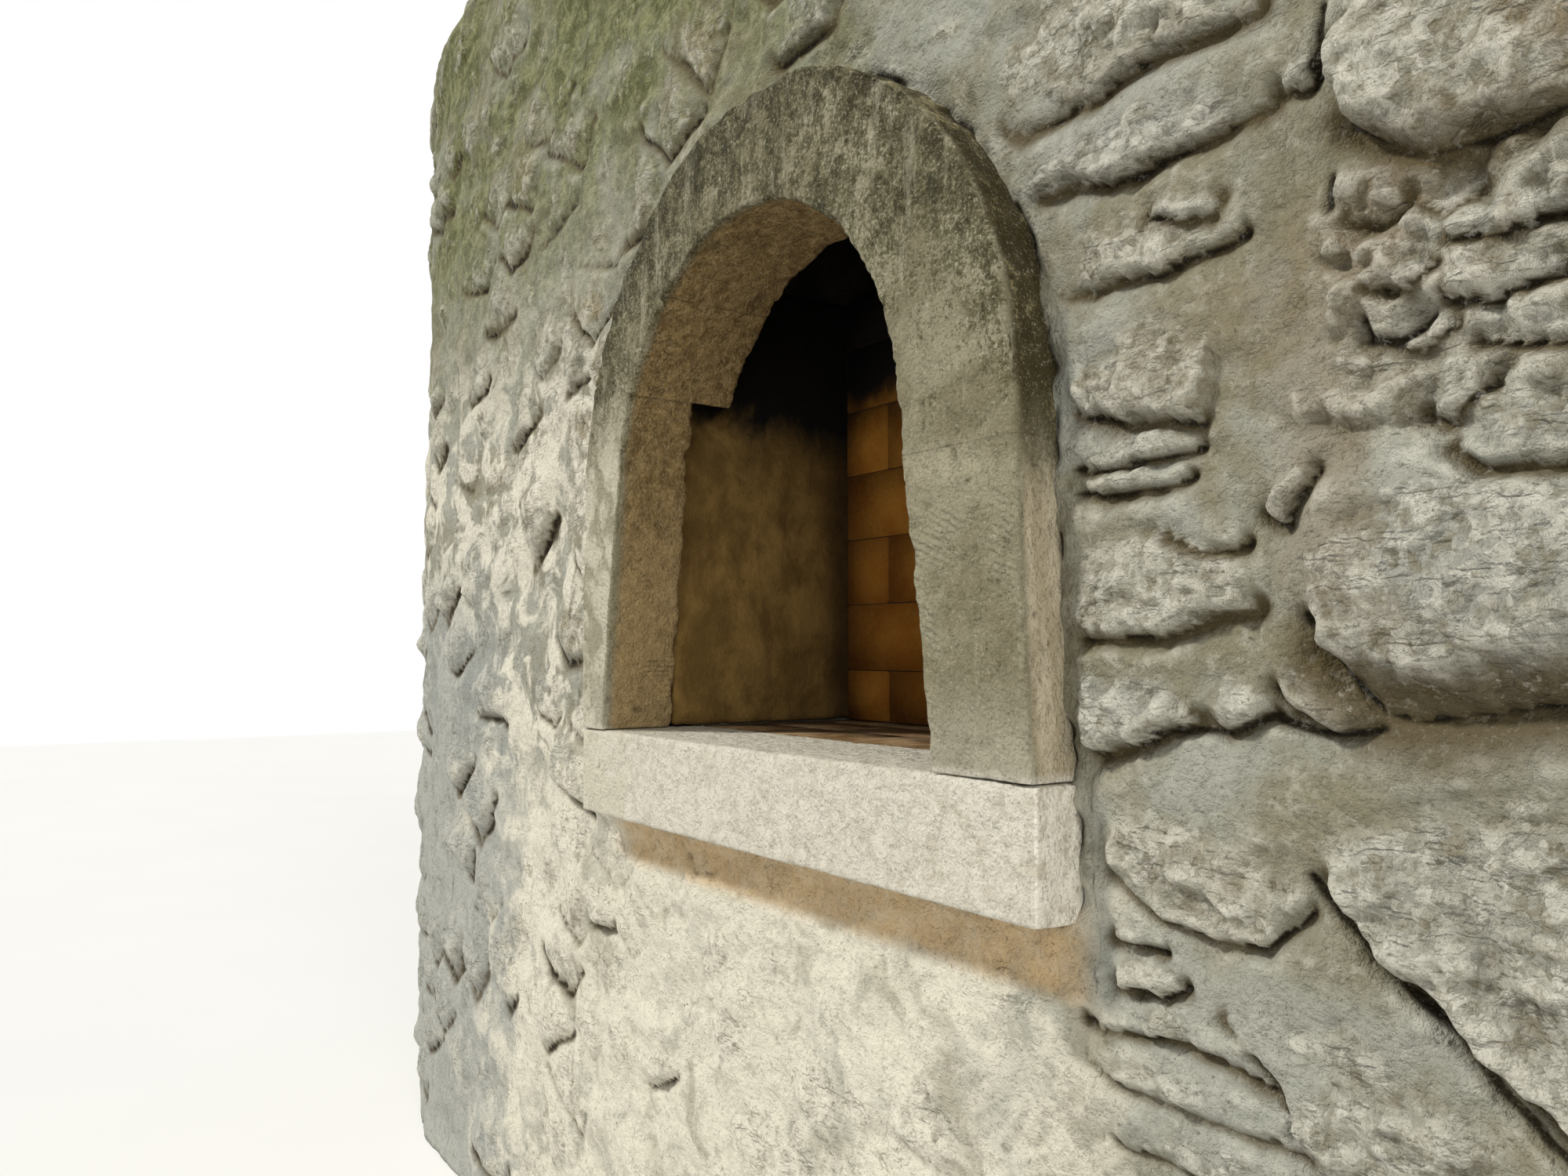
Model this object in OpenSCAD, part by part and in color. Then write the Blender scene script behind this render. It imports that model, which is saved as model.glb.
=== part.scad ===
// Arched stone hearth in a free-standing rubble wall with rounded ends.
// Millimetres. +Z is up, the arched mouth faces -Y, and the origin lies on the ground
// under the middle of the whole block. x = 0 is the centre line of the arch's outer curve.

/* [Wall] */
// Length of the straight middle part of the wall
straight_l = 2560; // [2000:10:3200]
// How far each rounded end reaches past the straight part
end_reach = 1000; // [700:10:1200]
// Thickness of the wall between its two rubble faces
wall_t = 1400; // [1350:10:1700]
// Height of the wall under the sill
base_h = 845; // [500:5:1000]
// Rubble over the crown of the arch, up to where the wall starts to lean in
crown_cover = 721; // [500:1:800]
// Rise of the leaning shoulders
lean_h = 200; // [120:10:300]
// Lean of the shoulders from upright, in degrees
lean = 25; // [15:0.5:30]
// Radius of the turn from the shoulders to the flat top
turn_r = 200; // [120:5:220]

/* [Surround] */
// How far the dressed stones stand out from the rubble face
proud = 62; // [20:1:90]
// Height of the sill stone
sill_h = 133; // [90:1:180]
// How far the sill runs past the right jamb
sill_over = 6; // [0:1:30]
// Depth of the sill and of the arch stones, front to back
arch_depth = 190; // [160:1:230]
// Depth of the jamb stones, front to back
jamb_depth = 125; // [95:1:150]
// Height of the springing line above the sill
spring_h = 364; // [250:1:450]
// Radius of the arch's outer edge
outer_r = 487; // [460:1:520]
// Radius of the arch's inner edge
inner_r = 336; // [310:1:350]
// How far the inner curve's centre lies to the left of the outer one's
inner_shift = 22; // [0:1:40]
// How much each jamb's inner edge spreads from the springing line down to the sill
jamb_splay = 50; // [0:1:56]
// How much the right jamb's outer edge spreads on the way down
jamb_flare = 18; // [0:1:30]
// Drop of the right bed joint below the springing line
right_joint_drop = 35; // [10:1:80]
// Angle of the joint over the left jamb, anticlockwise from the right
springer_joint = 154; // [146:1:165]
// Angle of the joint in the left haunch
haunch_joint = 126; // [114:1:138]
// Angle of the joint left of the crown
crown_left_joint = 91; // [84:1:105]
// Angle of the joint right of the crown
crown_right_joint = 65; // [50:1:78]

/* [Hearth] */
// Clear width of the fire chamber between its plastered sides
chamber_w = 820; // [780:1:850]
// Depth of the chamber's firebrick face behind the surround's front
chamber_depth = 478; // [420:1:560]
// Thickness of the plaster on the chamber's sides
lining_t = 20; // [10:1:30]
// Thickness of the firebrick back wall
firebrick_t = 64; // [50:1:114]
// Thickness of the hearth slab
slab_t = 64; // [40:1:85]
// Height of the chamber above the inner crown of the arch
throat_rise = 52; // [20:1:100]
// Rubble left beside the surround's outer edge, up to the straight bay joint
bay_margin = 55; // [30:1:120]

/* [Flue] */
// Width of the flue, left to right
flue_w = 240; // [180:5:300]
// Depth of the flue, front to back
flue_d = 240; // [180:5:300]
// Width of the kerb stones round the flue
kerb_t = 120; // [80:5:140]
// Height of the kerb stones
kerb_h = 100; // [60:5:160]

/* [Hidden] */
// Flat sides along one rounded end
end_steps = 20;
// Steps in the turn at the top
turn_steps = 5;
// Longer than any joint line in the arch
reach = 2 * outer_r;
$fn = 96;

// Places along Y, front to back
front_y = -(wall_t + proud) / 2;
face_y = front_y + proud;
back_y = face_y + wall_t;
mid_y = (face_y + back_y) / 2;
jamb_back = front_y + jamb_depth;
arch_back = front_y + arch_depth;
chamber_back = front_y + chamber_depth;
brick_back = chamber_back + firebrick_t;
flue_front = mid_y - flue_d / 2;
flue_back = mid_y + flue_d / 2;

// Heights
hearth_z = base_h + sill_h;
spring_z = hearth_z + spring_h;
right_joint_z = spring_z - right_joint_drop;
throat_z = spring_z + inner_r + throat_rise;
shoulder_z = spring_z + outer_r + crown_cover;
turn_z = shoulder_z + lean_h;
top_z = turn_z + turn_r;

// Places along X
side_x = chamber_w / 2;
lining_x = side_x + lining_t;
bay_x = outer_r + jamb_flare + bay_margin;
straight_x = straight_l / 2;
end_x = straight_x + end_reach;
sill_right = outer_r + jamb_flare + sill_over;

rubble = "#c9c4b4";
dressed = "#d8d0bc";
plaster = "#a8835c";
firebrick = "#b98d58";
soot = "#2b2724";

// A block between two corners
module block(low, high) {
    translate(low) cube(high - low);
}

// An outline drawn in X and Z, given its depth from y0 back to y1
module upright(y0, y1) {
    translate([0, y1, 0]) rotate([90, 0, 0]) linear_extrude(y1 - y0) children();
}

// How far the faces have leaned in at the height z
function inset(z) =
    z <= turn_z ? max(0, z - shoulder_z) * tan(lean)
    : lean_h * tan(lean) + turn_r - sqrt(max(0, turn_r * turn_r - (z - turn_z) * (z - turn_z)));

// Heights of the shoulder's profile, with the turn in equal angles
shoulder_levels = concat([shoulder_z], [for (i = [0:turn_steps]) turn_z + turn_r * sin(90 * i / turn_steps)]);

// Half an ellipse round one end of the wall, front to back, leaned in by d
function end_curve(d) = [
    for (i = [0:end_steps])
        let (a = 180 * i / end_steps)
        [-straight_x - (end_reach - d) * sin(a), mid_y - (wall_t / 2 - d) * cos(a)]
];

// A rounded end as an upright block
module end_block(z0, z1) {
    translate([0, 0, z0]) linear_extrude(z1 - z0) polygon(end_curve(0));
}

// A rounded end lofted up through the levels of the shoulder
module end_loft() {
    n = end_steps + 1;
    rows = len(shoulder_levels);
    points = [for (z = shoulder_levels) for (p = end_curve(inset(z))) [p[0], p[1], z]];
    skin = [
        for (r = [0:rows - 2]) for (i = [0:n - 1])
            let (a = r * n + i, b = r * n + (i + 1) % n)
            each [[a, a + n, b + n], [a, b + n, b]]
    ];
    floor_face = [for (i = [0:n - 1]) i];
    top_face = [for (i = [n - 1:-1:0]) (rows - 1) * n + i];
    polyhedron(points, concat(skin, [floor_face, top_face]), convexity = 2);
}

// The shoulder's section between two heights, drawn in Y and Z
module shoulder_section() {
    polygon(concat(
        [for (z = shoulder_levels) [face_y + inset(z), z]],
        [for (i = [len(shoulder_levels) - 1:-1:0]) [back_y - inset(shoulder_levels[i]), shoulder_levels[i]]]
    ));
}

// The straight part of the shoulders between two places along X
module shoulder_run(x0, x1) {
    translate([x0, 0, 0]) rotate([90, 0, 90]) linear_extrude(x1 - x0) shoulder_section();
}

// The ring of the arch over the springing line: two circles with their own centres
module ring_outline() {
    intersection() {
        difference() {
            translate([0, spring_z]) circle(outer_r);
            translate([-inner_shift, spring_z]) circle(inner_r);
        }
        translate([-outer_r, spring_z]) square([2 * outer_r, outer_r]);
    }
}

// The wedge between two joint angles, whose joints point at the inner curve's centre
module wedge(a0, a1) {
    middle = (a0 + a1) / 2;
    translate([-inner_shift, spring_z]) polygon([
        [0, 0],
        reach * [cos(a0), sin(a0)],
        reach * [cos(middle), sin(middle)],
        reach * [cos(a1), sin(a1)]
    ]);
}

module ring_part(a0, a1) {
    intersection() {
        ring_outline();
        wedge(a0, a1);
    }
}

// The left jamb's face: a leg that narrows downwards, and the foot of the curve
module left_jamb_outline() {
    polygon([
        [-outer_r, hearth_z],
        [-inner_shift - inner_r - jamb_splay, hearth_z],
        [-inner_shift - inner_r, spring_z],
        [-outer_r, spring_z]
    ]);
    ring_part(springer_joint, 180);
}

// The right leg's face between two heights, splayed inside and flared outside
function right_inner(z) = inner_r - inner_shift + jamb_splay * (spring_z - z) / spring_h;
function right_outer(z) = outer_r + jamb_flare * (spring_z - z) / spring_h;

module right_leg_outline(z0, z1) {
    polygon([
        [right_inner(z0), z0],
        [right_outer(z0), z0],
        [right_outer(z1), z1],
        [right_inner(z1), z1]
    ]);
}

// Rubble wall, from the ground to the sill

module left_end_base() {
    color(rubble) end_block(0, base_h);
}

module left_base() {
    color(rubble) block([-straight_x, face_y, 0], [-bay_x, back_y, base_h]);
}

module hearth_base() {
    color(rubble) block([-bay_x, face_y, 0], [bay_x, back_y, base_h]);
}

module right_base() {
    color(rubble) mirror([1, 0, 0]) left_base();
}

module right_end_base() {
    color(rubble) mirror([1, 0, 0]) left_end_base();
}

// Rubble wall, from the sill to the shoulders

module left_end_wall() {
    color(rubble) end_block(base_h, shoulder_z);
}

module left_wall() {
    color(rubble) block([-straight_x, face_y, base_h], [-bay_x, back_y, shoulder_z]);
}

module right_wall() {
    color(rubble) mirror([1, 0, 0]) left_wall();
}

module right_end_wall() {
    color(rubble) mirror([1, 0, 0]) left_end_wall();
}

// Rubble beside the left jamb, and the fill behind the jamb up to its top joint
module left_front_wall() {
    color(rubble) {
        difference() {
            block([-bay_x, face_y, base_h], [-lining_x, arch_back, spring_z]);
            sill();
            left_jamb();
        }
        upright(jamb_back, arch_back) intersection() {
            ring_part(springer_joint, 180);
            translate([-outer_r, spring_z]) square([outer_r - lining_x, outer_r]);
        }
    }
}

// Rubble beside and behind the right jamb
module right_front_wall() {
    color(rubble) difference() {
        block([lining_x, face_y, base_h], [bay_x, arch_back, spring_z]);
        sill();
        right_jamb();
        right_arch_stone();
    }
}

module left_cheek() {
    color(rubble) block([-bay_x, arch_back, base_h], [-lining_x, brick_back, throat_z]);
}

module right_cheek() {
    color(rubble) mirror([1, 0, 0]) left_cheek();
}

module back_wall() {
    color(rubble) block([-bay_x, brick_back, base_h], [bay_x, back_y, throat_z]);
}

module smoke_shelf_wall() {
    color(rubble) block([-bay_x, flue_back, throat_z], [bay_x, back_y, shoulder_z]);
}

// Rubble over the arch, cut to the outer curve of its stones
module spandrel(x0, x1) {
    upright(face_y, arch_back) difference() {
        translate([x0, spring_z]) square([x1 - x0, shoulder_z - spring_z]);
        translate([0, spring_z]) circle(outer_r);
    }
}

module left_spandrel() {
    color(rubble) spandrel(-bay_x, 0);
}

module right_spandrel() {
    color(rubble) spandrel(0, bay_x);
}

// The sides of the smoke chamber, leaning in from the chamber to the flue
module left_gather() {
    color(soot) upright(arch_back, flue_back) polygon([
        [-bay_x, throat_z],
        [-side_x, throat_z],
        [-flue_w / 2, shoulder_z],
        [-bay_x, shoulder_z]
    ]);
}

module right_gather() {
    color(soot) mirror([1, 0, 0]) left_gather();
}

// Fire chamber

module hearth_bed() {
    color(rubble) block([-lining_x, arch_back, base_h], [lining_x, brick_back, hearth_z - slab_t]);
}

module hearth_slab() {
    color(firebrick) block([-lining_x, arch_back, hearth_z - slab_t], [lining_x, brick_back, hearth_z]);
}

module left_lining() {
    color(plaster) {
        block([-lining_x, arch_back, hearth_z], [-side_x, chamber_back, throat_z]);
        upright(jamb_back, arch_back) intersection() {
            left_jamb_outline();
            translate([-lining_x, hearth_z]) square([lining_t, spring_h + outer_r]);
        }
    }
}

module right_lining() {
    color(plaster) {
        block([side_x, arch_back, hearth_z], [lining_x, chamber_back, throat_z]);
        block([side_x, jamb_back, hearth_z], [lining_x, arch_back, right_joint_z]);
    }
}

module firebrick_back() {
    color(firebrick) block([-lining_x, chamber_back, hearth_z], [lining_x, brick_back, throat_z]);
}

// Dressed stone surround

module sill() {
    color(dressed) block([-outer_r, front_y, base_h], [sill_right, arch_back, hearth_z]);
}

module left_jamb() {
    color(dressed) upright(front_y, jamb_back) left_jamb_outline();
}

module right_jamb() {
    color(dressed) upright(front_y, jamb_back) right_leg_outline(hearth_z, right_joint_z);
}

module left_springer() {
    color(dressed) upright(front_y, arch_back) ring_part(haunch_joint, springer_joint);
}

module left_voussoir() {
    color(dressed) upright(front_y, arch_back) ring_part(crown_left_joint, haunch_joint);
}

module crown_stone() {
    color(dressed) upright(front_y, arch_back) ring_part(crown_right_joint, crown_left_joint);
}

// The long right stone: most of the right half of the ring, and the top of the leg
module right_arch_stone() {
    color(dressed) upright(front_y, arch_back) {
        ring_part(0, crown_right_joint);
        right_leg_outline(right_joint_z, spring_z);
    }
}

// Leaning shoulders and the top

module left_end_shoulder() {
    color(rubble) end_loft();
}

module left_shoulder() {
    color(rubble) shoulder_run(-straight_x, -flue_w / 2);
}

module front_shoulder() {
    color(rubble) intersection() {
        shoulder_run(-flue_w / 2, flue_w / 2);
        block([-flue_w / 2, face_y, shoulder_z], [flue_w / 2, flue_front, top_z]);
    }
}

module back_shoulder() {
    color(rubble) intersection() {
        shoulder_run(-flue_w / 2, flue_w / 2);
        block([-flue_w / 2, flue_back, shoulder_z], [flue_w / 2, back_y, top_z]);
    }
}

module right_shoulder() {
    color(rubble) mirror([1, 0, 0]) left_shoulder();
}

module right_end_shoulder() {
    color(rubble) mirror([1, 0, 0]) left_end_shoulder();
}

// Kerb stones round the mouth of the flue

module flue_kerb_front() {
    color(rubble) block(
        [-flue_w / 2 - kerb_t, flue_front - kerb_t, top_z],
        [flue_w / 2 + kerb_t, flue_front, top_z + kerb_h]
    );
}

module flue_kerb_back() {
    color(rubble) block(
        [-flue_w / 2 - kerb_t, flue_back, top_z],
        [flue_w / 2 + kerb_t, flue_back + kerb_t, top_z + kerb_h]
    );
}

module flue_kerb_left() {
    color(rubble) block(
        [-flue_w / 2 - kerb_t, flue_front, top_z],
        [-flue_w / 2, flue_back, top_z + kerb_h]
    );
}

module flue_kerb_right() {
    color(rubble) mirror([1, 0, 0]) flue_kerb_left();
}

left_end_base();
left_base();
hearth_base();
right_base();
right_end_base();
left_end_wall();
left_wall();
right_wall();
right_end_wall();
left_front_wall();
right_front_wall();
left_cheek();
right_cheek();
back_wall();
smoke_shelf_wall();
left_spandrel();
right_spandrel();
left_gather();
right_gather();
hearth_bed();
hearth_slab();
left_lining();
right_lining();
firebrick_back();
sill();
left_jamb();
right_jamb();
left_springer();
left_voussoir();
crown_stone();
right_arch_stone();
left_end_shoulder();
left_shoulder();
front_shoulder();
back_shoulder();
right_shoulder();
right_end_shoulder();
flue_kerb_front();
flue_kerb_back();
flue_kerb_left();
flue_kerb_right();
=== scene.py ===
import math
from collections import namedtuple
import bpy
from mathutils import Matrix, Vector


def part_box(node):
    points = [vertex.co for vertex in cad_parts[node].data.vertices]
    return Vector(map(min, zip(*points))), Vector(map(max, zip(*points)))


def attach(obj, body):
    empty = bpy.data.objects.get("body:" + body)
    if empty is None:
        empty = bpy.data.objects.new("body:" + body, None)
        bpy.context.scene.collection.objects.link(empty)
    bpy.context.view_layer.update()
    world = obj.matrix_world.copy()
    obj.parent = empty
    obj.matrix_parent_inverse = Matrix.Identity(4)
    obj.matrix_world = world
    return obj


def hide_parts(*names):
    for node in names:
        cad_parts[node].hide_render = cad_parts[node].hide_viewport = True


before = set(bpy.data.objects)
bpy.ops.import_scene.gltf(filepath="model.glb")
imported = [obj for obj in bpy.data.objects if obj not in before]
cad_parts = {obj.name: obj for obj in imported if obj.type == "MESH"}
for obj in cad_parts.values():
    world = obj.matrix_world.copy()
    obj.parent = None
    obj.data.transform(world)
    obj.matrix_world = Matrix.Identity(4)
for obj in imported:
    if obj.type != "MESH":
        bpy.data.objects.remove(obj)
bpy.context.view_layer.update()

# An arched stone hearth in a limewashed rubble wall. Metres, +Z up, the mouth faces -Y.
# The rubble is one relief worked out over the unrolled wall. The stones of the arch are swept from
# joint to joint and then worn, and the bricks are laid by Geometry Nodes.

from types import SimpleNamespace

import bmesh
import bpy
import numpy as np
from mathutils import Vector

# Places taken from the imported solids
FRONT_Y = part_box("sill")[0][1]
ARCH_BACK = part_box("sill")[1][1]
SILL_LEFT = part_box("sill")[0][0]
SILL_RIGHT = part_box("sill")[1][0]
BASE_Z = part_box("sill")[0][2]
HEARTH_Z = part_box("sill")[1][2]
FACE_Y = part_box("left_wall")[0][1]
BACK_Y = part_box("left_wall")[1][1]
MID_Y = (FACE_Y + BACK_Y) / 2
STRAIGHT_X = -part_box("left_wall")[0][0]
END_REACH = -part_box("left_end_base")[0][0] - STRAIGHT_X
HALF_T = (BACK_Y - FACE_Y) / 2
SHOULDER_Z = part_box("left_wall")[1][2]
TOP_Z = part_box("left_shoulder")[1][2]
JAMB_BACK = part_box("right_jamb")[1][1]
OUTER_R = -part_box("left_jamb")[0][0]
SPRING_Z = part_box("left_spandrel")[0][2]
RIGHT_JOINT_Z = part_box("right_jamb")[1][2]
SIDE_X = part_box("right_lining")[0][0]
LINING_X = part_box("right_lining")[1][0]
BRICK_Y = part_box("firebrick_back")[0][1]
BRICK_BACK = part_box("firebrick_back")[1][1]
THROAT_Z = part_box("firebrick_back")[1][2]
SLAB_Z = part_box("hearth_slab")[0][2]
FLUE_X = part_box("flue_kerb_right")[0][0]
FLUE_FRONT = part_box("flue_kerb_front")[1][1]
FLUE_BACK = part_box("flue_kerb_back")[0][1]

# Sizes of the surround and the shoulders that the solids' boxes don't give
INNER_R = 0.336
INNER_X = -0.022
JAMB_SPLAY = 0.050
JAMB_FLARE = 0.018
SPRINGER_JOINT = 154
HAUNCH_JOINT = 126
CROWN_LEFT_JOINT = 91
CROWN_RIGHT_JOINT = 65
LEAN = math.radians(25)
TURN_R = 0.200
TURN_Z = TOP_Z - TURN_R

scene = bpy.context.scene
scene.view_settings.view_transform = "Standard"


# Nodes, for the sky, the materials and the bricks

def feed(tree, socket, value):
    """Links a socket to a socket, or sets it to a number, a colour or a vector."""
    if isinstance(value, bpy.types.NodeSocket):
        tree.links.new(value, socket)
    elif isinstance(value, tuple) and socket.type == "RGBA":
        socket.default_value = (*value, 1)
    else:
        socket.default_value = value


def add_node(tree, kind, inputs=None, **settings):
    node = tree.nodes.new(kind)
    for key, value in settings.items():
        setattr(node, key, value)
    for key, value in (inputs or {}).items():
        feed(tree, node.inputs[key], value)
    return node


# Camera, lamps and floor

CAMERA_AT = Vector((1.278, -1.526, 1.101))
CAMERA_HEADING = Vector((-0.829, 0.559, 0)).normalized()
CAMERA_PITCH = math.radians(3.05)
LENS = 27
SENSOR = 36


def set_camera():
    lens = bpy.data.cameras.new("camera")
    lens.sensor_width = SENSOR
    lens.lens = LENS
    lens.clip_start = 0.02
    camera = bpy.data.objects.new("camera", lens)
    look = CAMERA_HEADING * math.cos(CAMERA_PITCH) + Vector((0, 0, math.sin(CAMERA_PITCH)))
    camera.location = CAMERA_AT
    camera.rotation_euler = look.to_track_quat("-Z", "Y").to_euler()
    scene.collection.objects.link(camera)
    scene.camera = camera


def lamp(name, shine, energy, spread, colour):
    """A soft lamp far off, shining along a direction."""
    light = bpy.data.lights.new(name, "SUN")
    light.energy = energy
    light.angle = math.radians(spread)
    light.color = colour
    piece = bpy.data.objects.new(name, light)
    piece.rotation_euler = Vector(shine).to_track_quat("-Z", "Y").to_euler()
    scene.collection.objects.link(piece)


def set_sky():
    """An even light from all round, and white behind the scene."""
    world = bpy.data.worlds.new("studio")
    world.use_nodes = True
    tree = world.node_tree
    tree.nodes.clear()
    path = add_node(tree, "ShaderNodeLightPath").outputs
    seen = path["Is Camera Ray"]
    for ray in ("Is Glossy Ray", "Is Transmission Ray"):
        seen = add_node(tree, "ShaderNodeMath", {0: seen, 1: path[ray]}, operation="MAXIMUM").outputs[0]
    light = add_node(tree, "ShaderNodeBackground", {"Color": (0.93, 0.96, 1.0), "Strength": 0.38})
    white = add_node(tree, "ShaderNodeBackground", {"Color": (1.0, 1.0, 1.0), "Strength": 1.0})
    mix = add_node(tree, "ShaderNodeMixShader", {0: seen, 1: light.outputs[0], 2: white.outputs[0]})
    add_node(tree, "ShaderNodeOutputWorld", {"Surface": mix.outputs[0]})
    scene.world = world


def set_lamps():
    """A key lamp from the upper left, and a broad fill from the right."""
    lamp("key", shine=(0.48, 0.60, -0.82), energy=2.9, spread=6, colour=(1.0, 0.97, 0.91))
    lamp("fill", shine=(-0.90, 0.38, -0.26), energy=1.6, spread=45, colour=(1.0, 0.96, 0.88))


# Materials

SHEEN = 0.22


def paint(red, green, blue):
    """A colour given as it shows on a screen, from 0 to 255, turned into the shader's linear light."""
    shares = (red / 255, green / 255, blue / 255)
    return tuple(((c + 0.055) / 1.055) ** 2.4 if c > 0.04045 else c / 12.92 for c in shares)


class Finish:
    """A stone or brick finish, built node by node. Each method gives the new node's socket."""

    def __init__(self, name):
        self.material = bpy.data.materials.new(name)
        self.material.use_nodes = True
        self.tree = self.material.node_tree
        self.shader = self.tree.nodes["Principled BSDF"]
        self.place = self.add("ShaderNodeTexCoord").outputs["Object"]
        self.x, self.y, self.z = self.add("ShaderNodeSeparateXYZ", {0: self.place}).outputs[:3]

    def add(self, kind, inputs=None, **settings):
        return add_node(self.tree, kind, inputs, **settings)

    def noise(self, size, detail=4.0, rough=0.55, at=None, warp=0.0):
        """Layered noise from 0 to 1, with marks of the given size in metres."""
        return self.add("ShaderNodeTexNoise", {
            "Vector": at or self.place, "Scale": 1 / size, "Detail": detail, "Roughness": rough,
            "Distortion": warp}).outputs["Fac"]

    def cells(self, size, at=None, output="Distance"):
        """Cells of the given size in metres: the distance to their middles, or a colour for each."""
        inputs = {"Vector": at or self.place, "Scale": 1 / size}
        return self.add("ShaderNodeTexVoronoi", inputs).outputs[output]

    def vector(self, operation, a, b):
        node = self.add("ShaderNodeVectorMath", {0: a, 1: b}, operation=operation)
        return node.outputs["Value" if operation == "DOT_PRODUCT" else "Vector"]

    def facets(self, size):
        """Chipped stone: every chip is a small plane with a slope and a tone of its own.

        Gives the height in metres and the tone from 0 to 1."""
        bend = self.add("ShaderNodeTexNoise", {"Vector": self.place, "Scale": 0.7 / size, "Detail": 1.0})
        shift = self.vector("MULTIPLY", bend.outputs["Color"], (0.9 * size,) * 3)
        place = self.vector("ADD", self.place, shift)
        chip = self.add("ShaderNodeTexVoronoi", {"Vector": place, "Scale": 1 / size})
        away = self.vector("SUBTRACT", place, chip.outputs["Position"])
        slope = self.vector("SUBTRACT", chip.outputs["Color"], (0.5, 0.5, 0.5))
        split = self.add("ShaderNodeSeparateXYZ", {0: chip.outputs["Color"]})
        return self.vector("DOT_PRODUCT", away, slope), split.outputs["Y"]

    def stretch(self, x=1.0, y=1.0, z=1.0, turn=(0, 0, 0)):
        """The place scaled and turned, for marks that are longer one way."""
        inputs = {"Vector": self.place, "Scale": (x, y, z), "Rotation": turn}
        return self.add("ShaderNodeMapping", inputs).outputs[0]

    def attribute(self, name):
        return self.add("ShaderNodeAttribute", attribute_name=name).outputs["Fac"]

    def span(self, value, low, high, bottom=0.0, top=1.0):
        """Runs smoothly from bottom to top while value goes from low to high."""
        return self.add("ShaderNodeMapRange", {
            "Value": value, "From Min": low, "From Max": high, "To Min": bottom, "To Max": top},
            interpolation_type="SMOOTHSTEP").outputs["Result"]

    def work(self, operation, values):
        """One sum over all the values, two at a time."""
        total = values[0]
        for value in values[1:]:
            total = self.add("ShaderNodeMath", {0: total, 1: value}, operation=operation).outputs[0]
        return total

    def plus(self, *values):
        return self.work("ADD", values)

    def times(self, *values):
        return self.work("MULTIPLY", values)

    def most(self, *values):
        return self.work("MAXIMUM", values)

    def mix(self, share, a, b):
        """The colour a turned into the colour b by a share from 0 to 1."""
        return self.add("ShaderNodeMix", {"Factor": share, 6: a, 7: b}, data_type="RGBA").outputs[2]

    def done(self, colour, rough, height=None):
        """Sets the shader. The height is in metres."""
        shade = self.shader.inputs
        feed(self.tree, shade["Base Color"], colour)
        feed(self.tree, shade["Roughness"], rough)
        feed(self.tree, shade["Specular IOR Level"], SHEEN)
        if height is not None:
            bump = self.add("ShaderNodeBump", {"Strength": 1.0, "Distance": 1.0, "Height": height})
            feed(self.tree, shade["Normal"], bump.outputs[0])
        return self.material


def mortar_colour(f, marks):
    warm = paint(128, 124, 103)
    cool = paint(155, 156, 145)
    washed = paint(180, 178, 164)
    colour = f.mix(f.span(marks.cloud, 0.40, 0.60), warm, cool)
    return f.mix(f.times(f.span(marks.mottle, 0.52, 0.66), 0.45), colour, washed)


def stone_colour(f, marks):
    """Stones of three kinds by their tone, each with pale and dark chips."""
    grey = paint(143, 143, 133)
    buff = paint(151, 147, 130)
    tan = paint(156, 145, 120)
    tone = f.attribute("tone")
    colour = f.mix(f.span(tone, 0.25, 0.60), grey, buff)
    colour = f.mix(f.span(tone, 0.80, 0.92), colour, tan)
    colour = f.mix(f.times(f.span(marks.mottle, 0.46, 0.62), 0.52), colour, paint(186, 184, 171))
    colour = f.mix(f.times(f.span(marks.mottle, 0.45, 0.34), 0.45), colour, paint(116, 107, 84))
    wide_tone = f.plus(f.times(marks.chip_tone, 0.6), f.times(marks.flake_tone, 0.5))
    fine_tone = f.plus(f.times(marks.chip_tone, 0.5), f.times(marks.flake_tone, 0.6))
    colour = f.mix(f.times(f.span(wide_tone, 0.54, 0.92), 0.58), colour, paint(204, 201, 188))
    return f.mix(f.span(fine_tone, 0.42, 0.16, 0.0, 0.55), colour, paint(112, 104, 80))


def limewash(f, marks, colour):
    """The wash is paler and thicker low down on the left and under the sill, partly painted sunlight, and
    cooler at the left foot, which is painted shade.
    """
    below_sill = f.times(f.span(marks.across, 0.68, 0.38), f.span(f.z, 1.04, 0.84), marks.front)
    low_left = f.times(f.span(f.x, -0.40, -0.62), f.span(f.z, 1.95, 1.45))
    # thick: pale cream wash laid in patches, partly painted sunlight
    thick = f.most(f.times(below_sill, f.span(marks.patches, 0.36, 0.52, 0.45, 0.95)),
                   f.times(low_left, f.span(marks.patches, 0.44, 0.55, 0.08, 1.0)))
    colour = f.mix(thick, colour, paint(218, 213, 196))
    # cool: a painted cool shade at the left foot of the wall
    cool = f.times(f.span(marks.across, -0.80, -1.20), f.span(f.z, 1.45, 1.00))
    return f.mix(f.times(cool, 0.75), colour, paint(146, 150, 147))


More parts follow.
